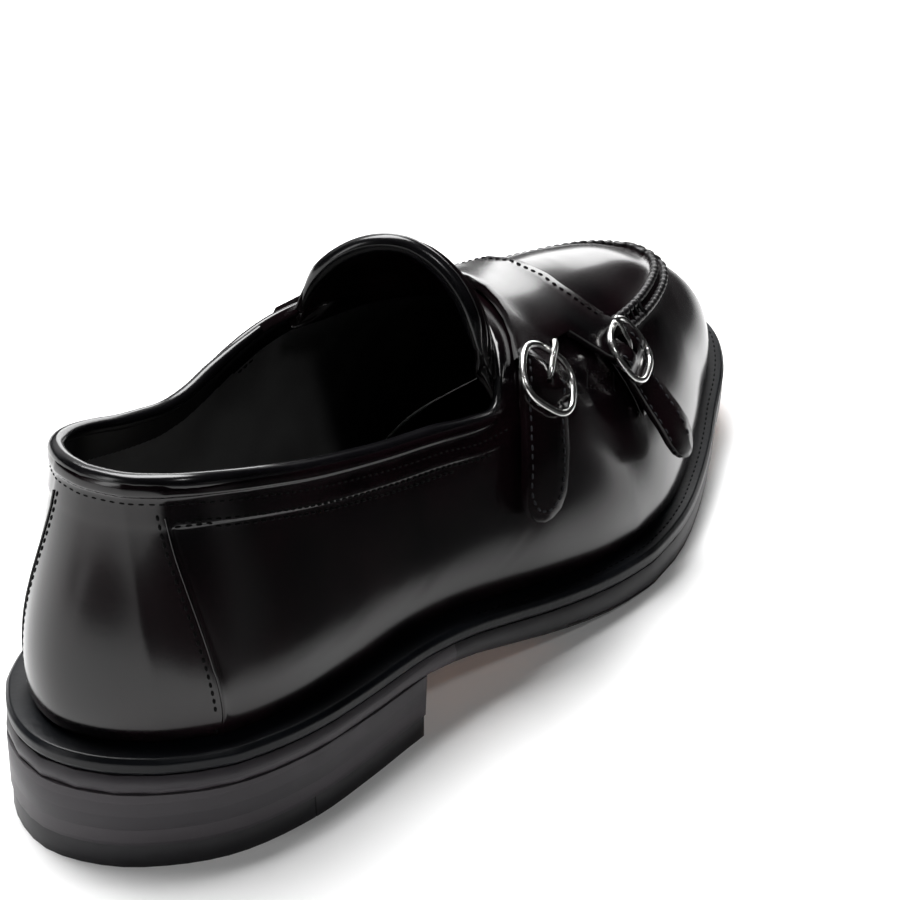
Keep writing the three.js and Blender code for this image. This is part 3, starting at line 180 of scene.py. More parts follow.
def make_calf_grain():
    """Closed pores and soft unevenness of polished leather."""
    group, start, end = effect_group(
        "calf_grain", [("Pores", 900.0), ("Swell", 55.0)], ["Height", "Tone"])
    place = group.nodes.new("ShaderNodeTexCoord")
    pores = group.nodes.new("ShaderNodeTexVoronoi")
    pores.feature = "SMOOTH_F1"
    fine = group.nodes.new("ShaderNodeTexNoise")
    fine.inputs["Detail"].default_value = 4
    swell = group.nodes.new("ShaderNodeTexNoise")
    swell.inputs["Detail"].default_value = 1
    for texture in (pores, fine, swell):
        group.links.new(place.outputs["Object"], texture.inputs["Vector"])
    group.links.new(start.outputs["Pores"], pores.inputs["Scale"])
    group.links.new(start.outputs["Pores"], fine.inputs["Scale"])
    group.links.new(start.outputs["Swell"], swell.inputs["Scale"])
    mixed = math_node(group, "ADD", math_node(group, "MULTIPLY", pores.outputs["Distance"], 0.35),
                      math_node(group, "MULTIPLY", fine.outputs["Fac"], 0.4))
    both = math_node(group, "ADD", mixed, math_node(group, "MULTIPLY", swell.outputs["Fac"], 0.9))
    group.links.new(both, end.inputs["Height"])
    group.links.new(swell.outputs["Fac"], end.inputs["Tone"])
    return group


def make_layer_lines():
    """Thin dark lines where stacked layers of leather meet, by height."""
    group, start, end = effect_group(
        "layer_lines", [("Pitch", 0.0036), ("Waver", 0.0003), ("Width", 0.12)], ["Line", "Tone"])
    place = group.nodes.new("ShaderNodeTexCoord")
    split = group.nodes.new("ShaderNodeSeparateXYZ")
    group.links.new(place.outputs["Object"], split.inputs[0])
    waver = group.nodes.new("ShaderNodeTexNoise")
    waver.inputs["Scale"].default_value = 60
    group.links.new(place.outputs["Object"], waver.inputs["Vector"])
    sway = math_node(group, "MULTIPLY", waver.outputs["Fac"], start.outputs["Waver"])
    height = math_node(group, "ADD", split.outputs["Z"], sway)
    level = math_node(group, "DIVIDE", height, start.outputs["Pitch"])
    part = math_node(group, "FRACT", level)
    line = math_node(group, "LESS_THAN", part, start.outputs["Width"])
    step = math_node(group, "FRACT", math_node(group, "MULTIPLY", math_node(group, "FLOOR", level), 0.37))
    group.links.new(line, end.inputs["Line"])
    group.links.new(step, end.inputs["Tone"])
    return group


def make_fibre():
    """Long fine fibres and blotches of sole leather, lined for a brushed finish."""
    group, start, end = effect_group(
        "sole_fibre", [("Scale", 260.0), ("Stretch", 0.12)], ["Height", "Tone"])
    place = group.nodes.new("ShaderNodeTexCoord")
    mapping = group.nodes.new("ShaderNodeMapping")
    group.links.new(place.outputs["Object"], mapping.inputs["Vector"])
    squeeze = group.nodes.new("ShaderNodeCombineXYZ")
    squeeze.inputs["Y"].default_value = 1
    squeeze.inputs["Z"].default_value = 1
    group.links.new(start.outputs["Stretch"], squeeze.inputs["X"])
    group.links.new(squeeze.outputs[0], mapping.inputs["Scale"])
    fibre = group.nodes.new("ShaderNodeTexNoise")
    fibre.inputs["Detail"].default_value = 6
    group.links.new(mapping.outputs[0], fibre.inputs["Vector"])
    group.links.new(start.outputs["Scale"], fibre.inputs["Scale"])
    blotch = group.nodes.new("ShaderNodeTexNoise")
    blotch.inputs["Scale"].default_value = 24
    blotch.inputs["Detail"].default_value = 3
    group.links.new(place.outputs["Object"], blotch.inputs["Vector"])
    tone = math_node(group, "ADD", math_node(group, "MULTIPLY", fibre.outputs["Fac"], 0.45),
                     math_node(group, "MULTIPLY", blotch.outputs["Fac"], 0.55))
    group.links.new(fibre.outputs["Fac"], end.inputs["Height"])
    group.links.new(tone, end.inputs["Tone"])
    return group


def make_rubber_grip():
    """Small close pimples of moulded rubber."""
    group, start, end = effect_group("rubber_grip", [("Scale", 700.0)], ["Height", "Tone"])
    place = group.nodes.new("ShaderNodeTexCoord")
    dots = group.nodes.new("ShaderNodeTexVoronoi")
    dots.inputs["Randomness"].default_value = 0.15
    dust = group.nodes.new("ShaderNodeTexNoise")
    dust.inputs["Scale"].default_value = 90
    for texture in (dots, dust):
        group.links.new(place.outputs["Object"], texture.inputs["Vector"])
    group.links.new(start.outputs["Scale"], dots.inputs["Scale"])
    group.links.new(dots.outputs["Distance"], end.inputs["Height"])
    group.links.new(dust.outputs["Fac"], end.inputs["Tone"])
    return group


effects = {
    "grain": make_calf_grain(), "layers": make_layer_lines(),
    "fibre": make_fibre(), "grip": make_rubber_grip(),
}


def finish(name, effect, dark, light, rough, bump, settings=(),
           metallic=0.0, coat=0.0, coat_rough=0.1, specular=0.5):
    """A material whose colour, roughness and relief follow one of the effects.

    The two colours and the two roughnesses are those of the dark and of the light spots. The relief is
    given as its strength and its depth in metres.
    """
    material = bpy.data.materials.new(name)
    material.use_nodes = True
    tree = material.node_tree
    shader = tree.nodes["Principled BSDF"]
    shader.inputs["Metallic"].default_value = metallic
    shader.inputs["Coat Weight"].default_value = coat
    shader.inputs["Coat Roughness"].default_value = coat_rough
    shader.inputs["Specular IOR Level"].default_value = specular
    source = tree.nodes.new("ShaderNodeGroup")
    source.node_tree = effects[effect]
    for label, value in settings:
        source.inputs[label].default_value = value
    tone = source.outputs["Tone"]
    colours = tree.nodes.new("ShaderNodeMix")
    colours.data_type = "RGBA"
    colours.inputs["A"].default_value = (*dark, 1)
    colours.inputs["B"].default_value = (*light, 1)
    tree.links.new(ranged(tree, tone, 0.3, 0.7), colours.inputs["Factor"])
    tree.links.new(colours.outputs["Result"], shader.inputs["Base Color"])
    tree.links.new(ranged(tree, tone, 0.0, 1.0, *rough), shader.inputs["Roughness"])
    relief = tree.nodes.new("ShaderNodeBump")
    relief.inputs["Strength"].default_value = bump[0]
    relief.inputs["Distance"].default_value = bump[1]
    height = source.outputs["Line"] if effect == "layers" else source.outputs["Height"]
    if effect == "layers":
        relief.invert = True
    tree.links.new(height, relief.inputs["Height"])
    tree.links.new(relief.outputs[0], shader.inputs["Normal"])
    return material


polished_calf = finish("polished_calf", "grain", (0.0009, 0.0006, 0.001), (0.004, 0.0013, 0.0021),
                       (0.15, 0.22), (0.1, 0.0001), coat=0.12, coat_rough=0.08, specular=0.38)
strap_calf = finish("strap_calf", "grain", (0.0009, 0.0007, 0.001), (0.0045, 0.0016, 0.0024), (0.17, 0.26),
                    (0.14, 0.00012), [("Pores", 1100.0)], coat=0.1, coat_rough=0.1, specular=0.38)
binding_calf = finish("binding_calf", "grain", (0.0012, 0.0012, 0.0016), (0.0034, 0.0032, 0.004),
                      (0.18, 0.26), (0.14, 0.0001), [("Pores", 1400.0)], coat=0.15, coat_rough=0.12,
                      specular=0.35)
seam_calf = finish("seam_calf", "grain", (0.0009, 0.0008, 0.001), (0.003, 0.0022, 0.003), (0.32, 0.46),
                   (0.2, 0.00015), [("Pores", 1400.0)], specular=0.36)
lining_leather = finish("lining_leather", "grain", (0.06, 0.06, 0.061), (0.10, 0.10, 0.101), (0.45, 0.6),
                        (0.3, 0.0002), [("Pores", 1300.0)], specular=0.3)
heel_sock = finish("heel_sock", "grain", (0.10, 0.098, 0.094), (0.15, 0.146, 0.14), (0.45, 0.6),
                   (0.3, 0.0002), [("Pores", 1000.0)], specular=0.3)
welt_leather = finish("welt_leather", "grain", (0.0007, 0.001, 0.0018), (0.0022, 0.003, 0.005), (0.3, 0.44),
                      (0.35, 0.00025), [("Pores", 700.0)], specular=0.22)
black_edge = finish("black_edge", "fibre", (0.009, 0.0085, 0.01), (0.022, 0.021, 0.024), (0.34, 0.48),
                    (0.2, 0.00015), [("Stretch", 0.05)], specular=0.28)
heel_stack = finish("heel_stack", "layers", (0.03, 0.027, 0.031), (0.048, 0.043, 0.048), (0.4, 0.52),
                    (0.5, 0.0001), specular=0.28)
tan_leather = finish("tan_leather", "fibre", (0.27, 0.095, 0.028), (0.46, 0.2, 0.075), (0.36, 0.5),
                     (0.25, 0.0002))
sole_rubber = finish("sole_rubber", "grip", (0.007, 0.007, 0.007), (0.018, 0.018, 0.019), (0.6, 0.75),
                     (0.6, 0.0003), specular=0.3)
black_thread = finish("black_thread", "grain", (0.0003, 0.0003, 0.0004), (0.001, 0.001, 0.0012), (0.7, 0.85),
                      (0.3, 0.0001), [("Pores", 3000.0)], specular=0.12)
grey_thread = finish("grey_thread", "grain", (0.007, 0.0075, 0.0095), (0.017, 0.018, 0.022), (0.6, 0.8),
                     (0.3, 0.0001), [("Pores", 3000.0)], specular=0.25)
pale_thread = finish("pale_thread", "grain", (0.42, 0.38, 0.30), (0.62, 0.57, 0.47), (0.6, 0.8),
                     (0.3, 0.0001), [("Pores", 3000.0)])
polished_nickel = finish("polished_nickel", "grain", (0.86, 0.855, 0.84), (0.95, 0.945, 0.93), (0.2, 0.3),
                         (0.04, 0.00004), [("Pores", 500.0), ("Swell", 200.0)], metallic=1.0)
brass_nail = finish("brass_nail", "grain", (0.5, 0.32, 0.10), (0.72, 0.5, 0.2), (0.25, 0.4),
                    (0.1, 0.0001), metallic=1.0)


# Hand tools
def select_only(piece):
    """Makes one piece the only selected one and the active one."""
    bpy.ops.object.select_all(action="DESELECT")
    piece.hide_set(False)
    piece.select_set(True)
    bpy.context.view_layer.objects.active = piece


def apply_modifier(piece, name, kind, **values):
    """Adds a modifier to a piece and applies it at once."""
    select_only(piece)
    modifier = piece.modifiers.new(name, kind)
    for key, value in values.items():
        setattr(modifier, key, value)
    bpy.ops.object.modifier_apply(modifier=modifier.name)


def round_edges(piece, width, over, segments=2):
    """Edges sharper than an angle made round."""
    apply_modifier(piece, "Round edges", "BEVEL", width=width, segments=segments, limit_method="ANGLE",
                   angle_limit=math.radians(over))


def shade_by_angle(piece, degrees):
    """Smooth shading that keeps edges sharper than an angle."""
    select_only(piece)
    bpy.ops.object.shade_smooth_by_angle(angle=math.radians(degrees))


def from_frame(node, name, levels, crease_over=None, crease=0.6):
    """A merged copy of a frame node with its triangle pairs joined, made smooth."""
    piece = bpy.data.objects.new(name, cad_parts[node].data.copy())
    bpy.context.scene.collection.objects.link(piece)
    piece.data.materials.clear()
    select_only(piece)
    bpy.ops.mesh.customdata_custom_splitnormals_clear()
    bpy.ops.object.mode_set(mode="EDIT")
    bpy.ops.mesh.select_all(action="SELECT")
    bpy.ops.mesh.remove_doubles(threshold=0.00002)
    bpy.ops.mesh.tris_convert_to_quads(face_threshold=math.radians(30), shape_threshold=math.radians(50))
    if crease_over:
        bpy.ops.mesh.select_mode(type="EDGE")
        bpy.ops.mesh.select_all(action="DESELECT")
        bpy.ops.mesh.edges_select_sharp(sharpness=math.radians(crease_over))
        bpy.ops.transform.edge_crease(value=crease)
    bpy.ops.object.mode_set(mode="OBJECT")
    if levels:
        apply_modifier(piece, "Smooth form", "SUBSURF", levels=levels, render_levels=levels)
    select_only(piece)
    bpy.ops.object.shade_smooth()
    return piece


def hand_over(piece, material, slot, *nodes):
    """Gives a finished piece its material and body, and hides the frame nodes that it stands for. The slot
    is not used.
    """
    if material is not None:
        piece.data.materials.clear()
        piece.data.materials.append(material)
    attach(piece, "root")
    if nodes:
        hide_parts(*nodes)
    return piece


def tree_of(*pieces):
    """Search tree over the faces of some pieces."""
    verts = []
    faces = []
    for piece in pieces:
        base = len(verts)
        verts.extend(v.co.copy() for v in piece.data.vertices)
        faces.extend([base + i for i in face.vertices] for face in piece.data.polygons)
    return BVHTree.FromPolygons(verts, faces)


def outermost(tree, x, angle):
    """Last surface that a ray from the inner axis meets; angle 0 medial, 90 up, 180 lateral."""
    turn = math.radians(angle)
    way = Vector((0, math.cos(turn), math.sin(turn)))
    start = Vector((x, AXIS_SIDE, AXIS_HEIGHT)) * MM
    found = None
    while True:
        spot, normal, _, _ = tree.ray_cast(start, way)
        if spot is None:
            break
        found = (spot, normal)
        start = spot + way * 2e-5
    if found is None:
        return None
    spot, normal = found
    return spot, normal if normal.dot(way) > 0 else -normal


def smooth_line(points, pitch):
    """Evenly spaced points on a smooth curve through the given ones (metres)."""
    p = [Vector(q) for q in points]
    p = [p[0] * 2 - p[1]] + p + [p[-1] * 2 - p[-2]]
    fine = []
    for i in range(1, len(p) - 2):
        for k in range(12):
            t = k / 12
            a, b, c, d = p[i - 1], p[i], p[i + 1], p[i + 2]
            fine.append(0.5 * ((2 * b) + (c - a) * t + (2 * a - 5 * b + 4 * c - d) * t * t
                               + (3 * b - a - 3 * c + d) * t ** 3))
    fine.append(p[-2].copy())
    run = [0.0]
    for a, b in zip(fine, fine[1:]):
        run.append(run[-1] + (b - a).length)
    count = max(2, int(round(run[-1] / pitch)))
    out = []
    i = 0
    for k in range(count + 1):
        goal = run[-1] * k / count
        while i < len(run) - 2 and run[i + 1] < goal:
            i += 1
        w = (goal - run[i]) / max(1e-9, run[i + 1] - run[i])
        out.append(fine[i].lerp(fine[i + 1], w))
    return out


def in_metres(points):
    return [Vector(p) * MM for p in points]


def lay_on(tree, points, lift=0.0, reach=0.012):
    """Each point moved onto the nearest surface, with the surface's normal."""
    laid = []
    for p in points:
        spot, normal, _, gap = tree.find_nearest(p)
        if spot is None or gap > reach:
            continue
        if (p - spot).dot(normal) < 0 and (p - spot).length > 1e-5:
            normal = -normal
        laid.append((spot + normal * lift, normal))
    return laid


def bead(name, points, radius, material, slot, profile=None, resolution=3):
    """A round bead of leather along a line, with its own radius at each point."""
    curve = bpy.data.curves.new(name, "CURVE")
    curve.dimensions = "3D"
    curve.bevel_depth = radius
    curve.bevel_resolution = resolution
    curve.use_fill_caps = True
    line = curve.splines.new("POLY")
    line.points.add(len(points) - 1)
    for i, p in enumerate(points):
        line.points[i].co = (*p, 1)
        line.points[i].radius = 1.0 if profile is None else profile(i / (len(points) - 1), i)
    piece = bpy.data.objects.new(name, curve)
    bpy.context.scene.collection.objects.link(piece)
    select_only(piece)
    bpy.ops.object.convert(target="MESH")
    piece = bpy.context.view_layer.objects.active
    piece.data.transform(piece.matrix_world)
    bpy.ops.object.shade_smooth()
    return hand_over(piece, material, slot)


def stitch_shape(length, width, height):
    """One stitch, lying along X: a small sphere pulled long and flattened."""
    bpy.ops.object.select_all(action="DESELECT")
    bpy.ops.mesh.primitive_uv_sphere_add(segments=6, ring_count=5, radius=0.5, rotation=(0, math.pi / 2, 0))
    shape = bpy.context.view_layer.objects.active
    bpy.ops.object.transform_apply(location=True, rotation=True, scale=True)
    bpy.ops.object.mode_set(mode="EDIT")
    bpy.ops.mesh.select_all(action="SELECT")
    bpy.ops.transform.resize(value=(length, width, height))
    bpy.ops.object.mode_set(mode="OBJECT")
    return shape


def stitches(name, rows, length, width, height, material, slot, sink=0.25, turn=0.0, zigzag=False):
    """Rows of equal stitches; each row is a list of (place, normal)."""
    shape = stitch_shape(length, width, height)
    base = np.array([v.co for v in shape.data.vertices])
    faces = [list(f.vertices) for f in shape.data.polygons]
    verts = []
    polygons = []
    for row in rows:
        for i in range(len(row)):
            before = row[max(0, i - 1)][0]
            after = row[min(len(row) - 1, i + 1)][0]
            along = after - before
            if along.length < 1e-7:
                continue
            place, normal = row[i]
            up = normal.normalized()
            along = (along - up * along.dot(up)).normalized()
            if turn:
                swing = -turn if zigzag and i % 2 == 0 else turn
                along = Matrix.Rotation(swing, 3, up) @ along
            side = up.cross(along)
            spin = np.array([along, side, up])
            start = len(verts)
            verts.extend((base @ spin + np.array(place - up * height * sink)).tolist())
            polygons.extend([[start + k for k in f] for f in faces])
    bpy.data.objects.remove(shape)
    mesh = bpy.data.meshes.new(name)
    mesh.from_pydata(verts, [], polygons)
    piece = bpy.data.objects.new(name, mesh)
    bpy.context.scene.collection.objects.link(piece)
    select_only(piece)
    bpy.ops.object.shade_smooth()
    return hand_over(piece, material, slot)


def press(piece, folds):
    """Soft troughs and ridges: (points in mm, width, depth), a positive depth sinks."""
    mesh = piece.data
    co = np.array([v.co for v in mesh.vertices])
    normals = np.array([v.normal for v in mesh.vertices])
    for points, width, depth in folds:
        line = np.array([tuple(p) for p in smooth_line(in_metres(points), 0.004)])
        gaps = np.linalg.norm(co[:, None, :] - line[None], axis=2)
        near = gaps.min(axis=1) / (width * MM)
        share = gaps.argmin(axis=1) / (len(line) - 1)
        fade = np.sin(np.clip(share, 0.03, 0.97) * math.pi) ** 0.6
        co -= normals * (depth * MM * np.exp(-near ** 2) * fade)[:, None]
    mesh.vertices.foreach_set("co", co.ravel())
    mesh.update()


def split_materials(piece, materials, choose):
    """Gives each face one of the materials, by its middle and its normal."""
    piece.data.materials.clear()
    for material in materials:
        piece.data.materials.append(material)
    for face in piece.data.polygons:
        face.material_index = choose(face.center, face.normal)


# Upper
upper = from_frame("upper", "leather_upper", 2, 38, 0.35)
press(upper, [
    ([(-92, -38, 72), (-90, -41, 55), (-86, -42, 40)], 7, 0.3),
    ([(-70, -38, 70), (-66, -42, 54), (-60, -43, 38)], 9, 0.25),
    ([(-108, -38, 66), (-106, -40, 50), (-104, -40, 38)], 8, -0.2),
    ([(-40, -40, 62), (-30, -44, 48), (-22, -46, 34)], 10, 0.25),
    ([(10, -38, 58), (22, -44, 44), (34, -50, 28)], 9, 0.25),
    ([(-95, 38, 66), (-88, 40, 50), (-84, 40, 38)], 9, 0.3),
    ([(66, -24, 60), (70, -36, 44), (72, -42, 30)], 9, 0.2),
])
rim_all = in_metres(rim_medial[::-1] + rim_lateral)
rim_fine = np.array([tuple(p) for p in smooth_line(rim_all, 0.003)])


def upper_finish(middle, normal):
    """Outside leather, lining, or the facing along the top edge inside."""
    inner = Vector((min(0.09, max(-0.105, middle.x)), AXIS_SIDE * MM, AXIS_HEIGHT * MM))
    if (middle - inner).dot(normal) > 0:
        return 0
    gap = np.linalg.norm(rim_fine - np.array(middle), axis=1).min()
    return 2 if gap < 0.009 else 1


split_materials(upper, [polished_calf, lining_leather, binding_calf], upper_finish)
hand_over(upper, None, "upper_leather", "upper")
upper_skin = tree_of(upper)

tongue = from_frame("tongue", "leather_tongue", 2, 50, 0.3)
hand_over(tongue, polished_calf, "tongue_leather", "tongue")
tongue_skin = tree_of(tongue)


def below_rim(points, drop, lift=0.0, aside=7):
    """Points on the outside of the upper a given way below its top edge."""
    probes = []
    for p in points:
        inner = Vector((min(80, max(-105, p.x / MM)) * MM, 0, p.z))
        out = (p - inner).normalized()
        probes.append(p + out * aside * MM * 0.5 - Vector((0, 0, drop * MM)))
    return lay_on(upper_skin, probes, lift)


def binding_line(points):
    """Points just inside the top edge of the upper, where the rolled binding lies."""
    laid = []
    for p in points:
        inner = Vector((min(80, max(-105, p.x / MM)) * MM, 0, p.z - 0.02))
        out = (p - inner).normalized()
        laid.append(p - out * 0.0006 - Vector((0, 0, 0.0003)))
    return laid


# Collar: rolled edge, its stitches, and the stitched lower edge of the band.
collar_line = smooth_line(in_metres(rim_medial[:14][::-1] + rim_lateral[:18]), 0.0025)
bead("collar_roll", binding_line(collar_line), 0.0019, binding_calf, "upper_leather",
     lambda s, i: min(1, 0.55 + 6 * s, 0.55 + 6 * (1 - s)))
lateral_band = smooth_line(in_metres(rim_lateral[5:17]), FINE_PITCH)
medial_band = smooth_line(in_metres(rim_medial[4:14]), FINE_PITCH)
all_round = smooth_line(in_metres(rim_medial[:14][::-1] + rim_lateral[:17]), FINE_PITCH)
stitches("collar_stitches", [below_rim(all_round, 4.6, 0.00005)],
         0.0014, 0.00055, 0.0004, black_thread, "upper_leather")
stitches("band_stitches", [
    below_rim(lateral_band, 8.6), below_rim(lateral_band, 10.4),
    below_rim(medial_band, 8.6), below_rim(medial_band, 10.4),
], 0.0015, 0.0007, 0.0006, black_thread, "upper_leather", sink=0.05)


def beside_counter(points, back, pitch, lift=0.0):
    """Places a given way behind a seam of the counter."""
    line = smooth_line(in_metres(points[:-1]), pitch)
    shift = [Vector((-0.6, 0.75 if p.y < 0 else -0.75, 0)) * back * MM for p in line]
    return lay_on(upper_skin, [p + d for p, d in zip(line, shift)], lift)


counter_rows = [beside_counter(seam, 2.2, FINE_PITCH) for seam in (counter_lateral, counter_medial)]
stitches("counter_stitches", counter_rows,
         0.0014, 0.0007, 0.00045, black_thread, "upper_leather", sink=0.1)
# Thin cut edge of the upper layer beside each seam.
for side, seam in (("lateral", counter_lateral), ("medial", counter_medial)):
    edge = [p for p, _ in beside_counter(seam, 0.6, 0.002, -0.00015)]
    bead(f"counter_edge_{side}", edge, 0.00025, polished_calf, "upper_leather")

# Inside of the heel: turned facing held by a zig-zag row.
back_rim = smooth_line(in_metres(rim_medial[:6][::-1] + rim_lateral[:8]), FINE_PITCH)
inner_row = []
for top in back_rim:
    p = top - Vector((0, 0, 0.011))
    inner = Vector((min(80, max(-105, p.x / MM)) * MM, 0, p.z))
    spot, normal, _, _ = upper_skin.ray_cast(inner, (p - inner).normalized())
    if spot is not None:
        inner_row.append((spot, -normal if normal.dot(p - inner) > 0 else normal))
stitches("facing_zigzag", [inner_row], 0.0034, 0.0005, 0.0004, grey_thread, "lining",
         turn=0.95, zigzag=True)

# Apron: two pinched beads with a stitch drawn across them every few millimetres.
seam_course = [
    (38.0, -23.6, 65.4), (45.5, -23.6, 64.7), *apron_seam, (45.5, 31.0, 64.2), (37.0, 31.0, 65.0),
]
seam_points = lay_on(upper_skin, smooth_line(in_metres(seam_course), 0.0011))


def beside(row, shift):
    """Points to one side of a seam, along the skin."""
    moved = []
    for i, (p, n) in enumerate(row):
        along = (row[min(i + 1, len(row) - 1)][0] - row[max(i - 1, 0)][0]).normalized()
        moved.append(p + n.cross(along).normalized() * shift)
    return moved


def pinched(s, i):
    """Bead narrowed at every third point, where a stitch crosses it, and at its ends."""
    return (0.66 + 0.34 * abs(math.sin(math.pi * i / 3.0))) * min(1, 0.3 + 12 * s, 0.3 + 12 * (1 - s))


for side, shift in (("outer", 0.0021), ("inner", -0.0021)):
    bead(f"apron_bead_{side}", beside(seam_points, shift), 0.00135, seam_calf, "upper_leather", pinched)
stitches("apron_stitches", [[(p + n * 0.0009, n) for p, n in seam_points[::3]]],
         0.0062, 0.0008, 0.0008, black_thread, "upper_leather", turn=math.pi / 2 - 0.15)

# Box stitches of a small tab between the straps; only the stitches are drawn.
tab_corners = [(23.0, -30.2, 62.5), (35.0, -31.5, 57.8), (31.0, -34.6, 55.0), (18.5, -33.0, 60.0)]
tab_rows = []
for first, last in ((0, 1), (1, 2), (2, 3), (3, 0), (0, 2), (1, 3)):
    ends = in_metres([tab_corners[first], tab_corners[last]])
    tab_rows.append(lay_on(upper_skin, [ends[0].lerp(ends[1], k / 7) for k in range(8)], 0.0001))
stitches("tab_stitches", tab_rows, 0.0013, 0.0006, 0.0005, black_thread, "upper_leather", sink=0.0)

# Tongue: rolled free edge and padded ribs over its back.
edge_line = smooth_line(in_metres(tongue_edge), 0.002)
base_line = smooth_line(in_metres(tongue_base), 0.002)
shoe_axis = Vector((-0.03, AXIS_SIDE * MM, AXIS_HEIGHT * MM))


def along_tongue(depth, lift=0.0):
    """Line on the outer face of the tongue, a given way in front of its free edge."""
    laid = []
    last = len(edge_line) - 1
    for i, p in enumerate(edge_line):
        base = base_line[round(i / last * (len(base_line) - 1))]
        along = (edge_line[min(i + 1, last)] - edge_line[max(i - 1, 0)]).normalized()
        ahead = (base - p).normalized()
        out = along.cross(ahead).normalized()
        if out.dot(p - shoe_axis) < 0:
            out.negate()
        spot, _, _, _ = tongue_skin.ray_cast(p + ahead * depth + out * 0.012, -out)
        if spot is not None and (not laid or (spot - laid[-1]).length < 0.005):
            laid.append(spot + out * lift)
    return laid


def tapered(s, i):
    """Bead that thins out at both ends."""
    return min(1, 0.25 + 5 * s, 0.25 + 5 * (1 - s))


bead("tongue_roll", along_tongue(0.0014, -0.0009), 0.0023, binding_calf, "tongue_leather", tapered)
for index, depth in enumerate((0.0062, 0.0098, 0.0134)):
    bead(f"tongue_rib_{index + 1}", along_tongue(depth, -0.0002), 0.0015, strap_calf, "tongue_leather",
         tapered)

# Saddle leaf and straps
saddle = from_frame("saddle_straps", "saddle_leaf_and_straps", 0)
round_edges(saddle, 0.00045, 50)
shade_by_angle(saddle, 38)
hand_over(saddle, strap_calf, "strap_leather", "saddle_straps")
saddle_skin = tree_of(saddle)


def leaf_row(table, inset, first, last, pitch=0.0024):
    """Row of places near one edge of the leaf, between two angles."""
    raw = []
    for k in range(61):
        angle = first + (last - first) * k / 60
        i = 0
        while i < len(table) - 2 and table[i + 1][0] < angle:
            i += 1
        w = (angle - table[i][0]) / (table[i + 1][0] - table[i][0])
        x = table[i][1] + (table[i + 1][1] - table[i][1]) * w + inset
        found = outermost(saddle_skin, x, angle)
        if found:
            raw.append(found[0])
    return lay_on(saddle_skin, smooth_line(raw[::3], pitch), 0.0)


stitches("leaf_stitches", [leaf_row(saddle_front, -2.4, -30, 128), leaf_row(saddle_rear, 2.6, -30, 56)],
         0.0016, 0.0007, 0.0007, black_thread, "strap_leather", sink=0.0)


def strap_outline(name, width, inset):
    """Stitch line along both sides of a strap and round its tip."""
    rows = strap_lines[name]
    half = width / 2 - inset
    left = []
    right = []
    last = Vector(rows[-1][0])
    way = (last - Vector(rows[-2][0])).normalized()
    for centre, across in rows[:-1]:
        spot = Vector(centre)
        if (last - spot).length < half * 0.7:
            continue
        left.append(spot - Vector(across) * half)
        right.append(spot + Vector(across) * half)
    across = Vector(rows[-1][1])
    turn_at = last - way * (half + inset)
    left = [p for p in left if (p - turn_at).dot(way) < 0]
    right = [p for p in right if (p - turn_at).dot(way) < 0]
    cap = []
    for k in range(7):
        a = math.pi * k / 6
        cap.append(turn_at - across * half * math.cos(a) + way * half * math.sin(a))
    return [p * MM for p in left + cap + right[::-1]]


strap_rows = []
for name in strap_lines:
    axis_line = [Vector(centre) * MM for centre, _ in strap_lines[name]]
    row = []
    for p in smooth_line(strap_outline(name, STRAP_WIDTH, 1.7), 0.0023):
        centre = min(axis_line, key=lambda q: (q - p).length)
        out = (centre - Vector((centre.x, 0, 0.03))).normalized()
        spot, normal, _, _ = saddle_skin.ray_cast(p + out * 0.012, -out)
        if spot is not None and (spot - p).length < 0.008:
            row.append((spot, normal if normal.dot(out) > 0 else -normal))
    strap_rows.append(row)
stitches("strap_stitches", strap_rows, 0.0016, 0.0007, 0.0007, grey_thread, "strap_leather", sink=0.0)

# Buckles
for side in ("rear", "front"):
    buckle = from_frame(f"buckle_frame_{side}", f"nickel_frame_{side}", 2)
    hand_over(buckle, polished_nickel, "buckle_metal", f"buckle_frame_{side}")
    prong = from_frame(f"buckle_prong_{side}", f"nickel_prong_{side}", 2, 60, 0.7)
    hand_over(prong, polished_nickel, "buckle_metal", f"buckle_prong_{side}")
    tab = from_frame(f"buckle_tab_{side}", f"leather_tab_{side}", 1, 60, 0.6)
    hand_over(tab, strap_calf, "tab_leather", f"buckle_tab_{side}")

# Welt, sole and heel
welt = from_frame("welt", "leather_welt", 2, 30, 1.0)
round_edges(welt, 0.0007, 40, 3)
shade_by_angle(welt, 40)
hand_over(welt, welt_leather, "welt", "welt")
welt_skin = tree_of(welt)

outsole = from_frame("outsole", "leather_outsole", 0)
round_edges(outsole, 0.00012, 45)
shade_by_angle(outsole, 40)
split_materials(outsole, [black_edge, tan_leather, heel_stack], lambda middle, normal: (
    1 if normal.z < -0.72 else (2 if middle.x < -0.058 else 0)))
hand_over(outsole, None, "sole_leather", "outsole")

half_sole = from_frame("forefoot_rubber", "rubber_half_sole", 0)
shade_by_angle(half_sole, 35)
hand_over(half_sole, sole_rubber, "sole_rubber", "forefoot_rubber")

for node, name, underside, side, slot in (
    ("heel_block", "stacked_heel", heel_stack, heel_stack, "heel_stack"),
    ("heel_top_piece", "heel_top_piece_leather", tan_leather, black_edge, "sole_leather"),
    ("heel_rubber", "heel_quarter_rubber", sole_rubber, black_edge, "sole_rubber"),
):
    piece = from_frame(node, name, 0)
    if node == "heel_block":
        for vert in piece.data.vertices:
            flat = Vector((vert.normal.x, vert.normal.y, 0))
            if flat.length > 0.3 and vert.co.x < -0.062:
                vert.co += flat.normalized() * 0.0004
            if vert.normal.z > 0.3:
                vert.co.z += 0.0009
    round_edges(piece, 0.00015, 45)
    shade_by_angle(piece, 30)
    split_materials(piece, [side, underside], lambda middle, normal: 1 if normal.z < -0.72 else 0)
    hand_over(piece, None, slot, node)

insole = from_frame("insole", "insole_sock", 1, 50, 0.6)
hand_over(insole, heel_sock, "lining", "insole")


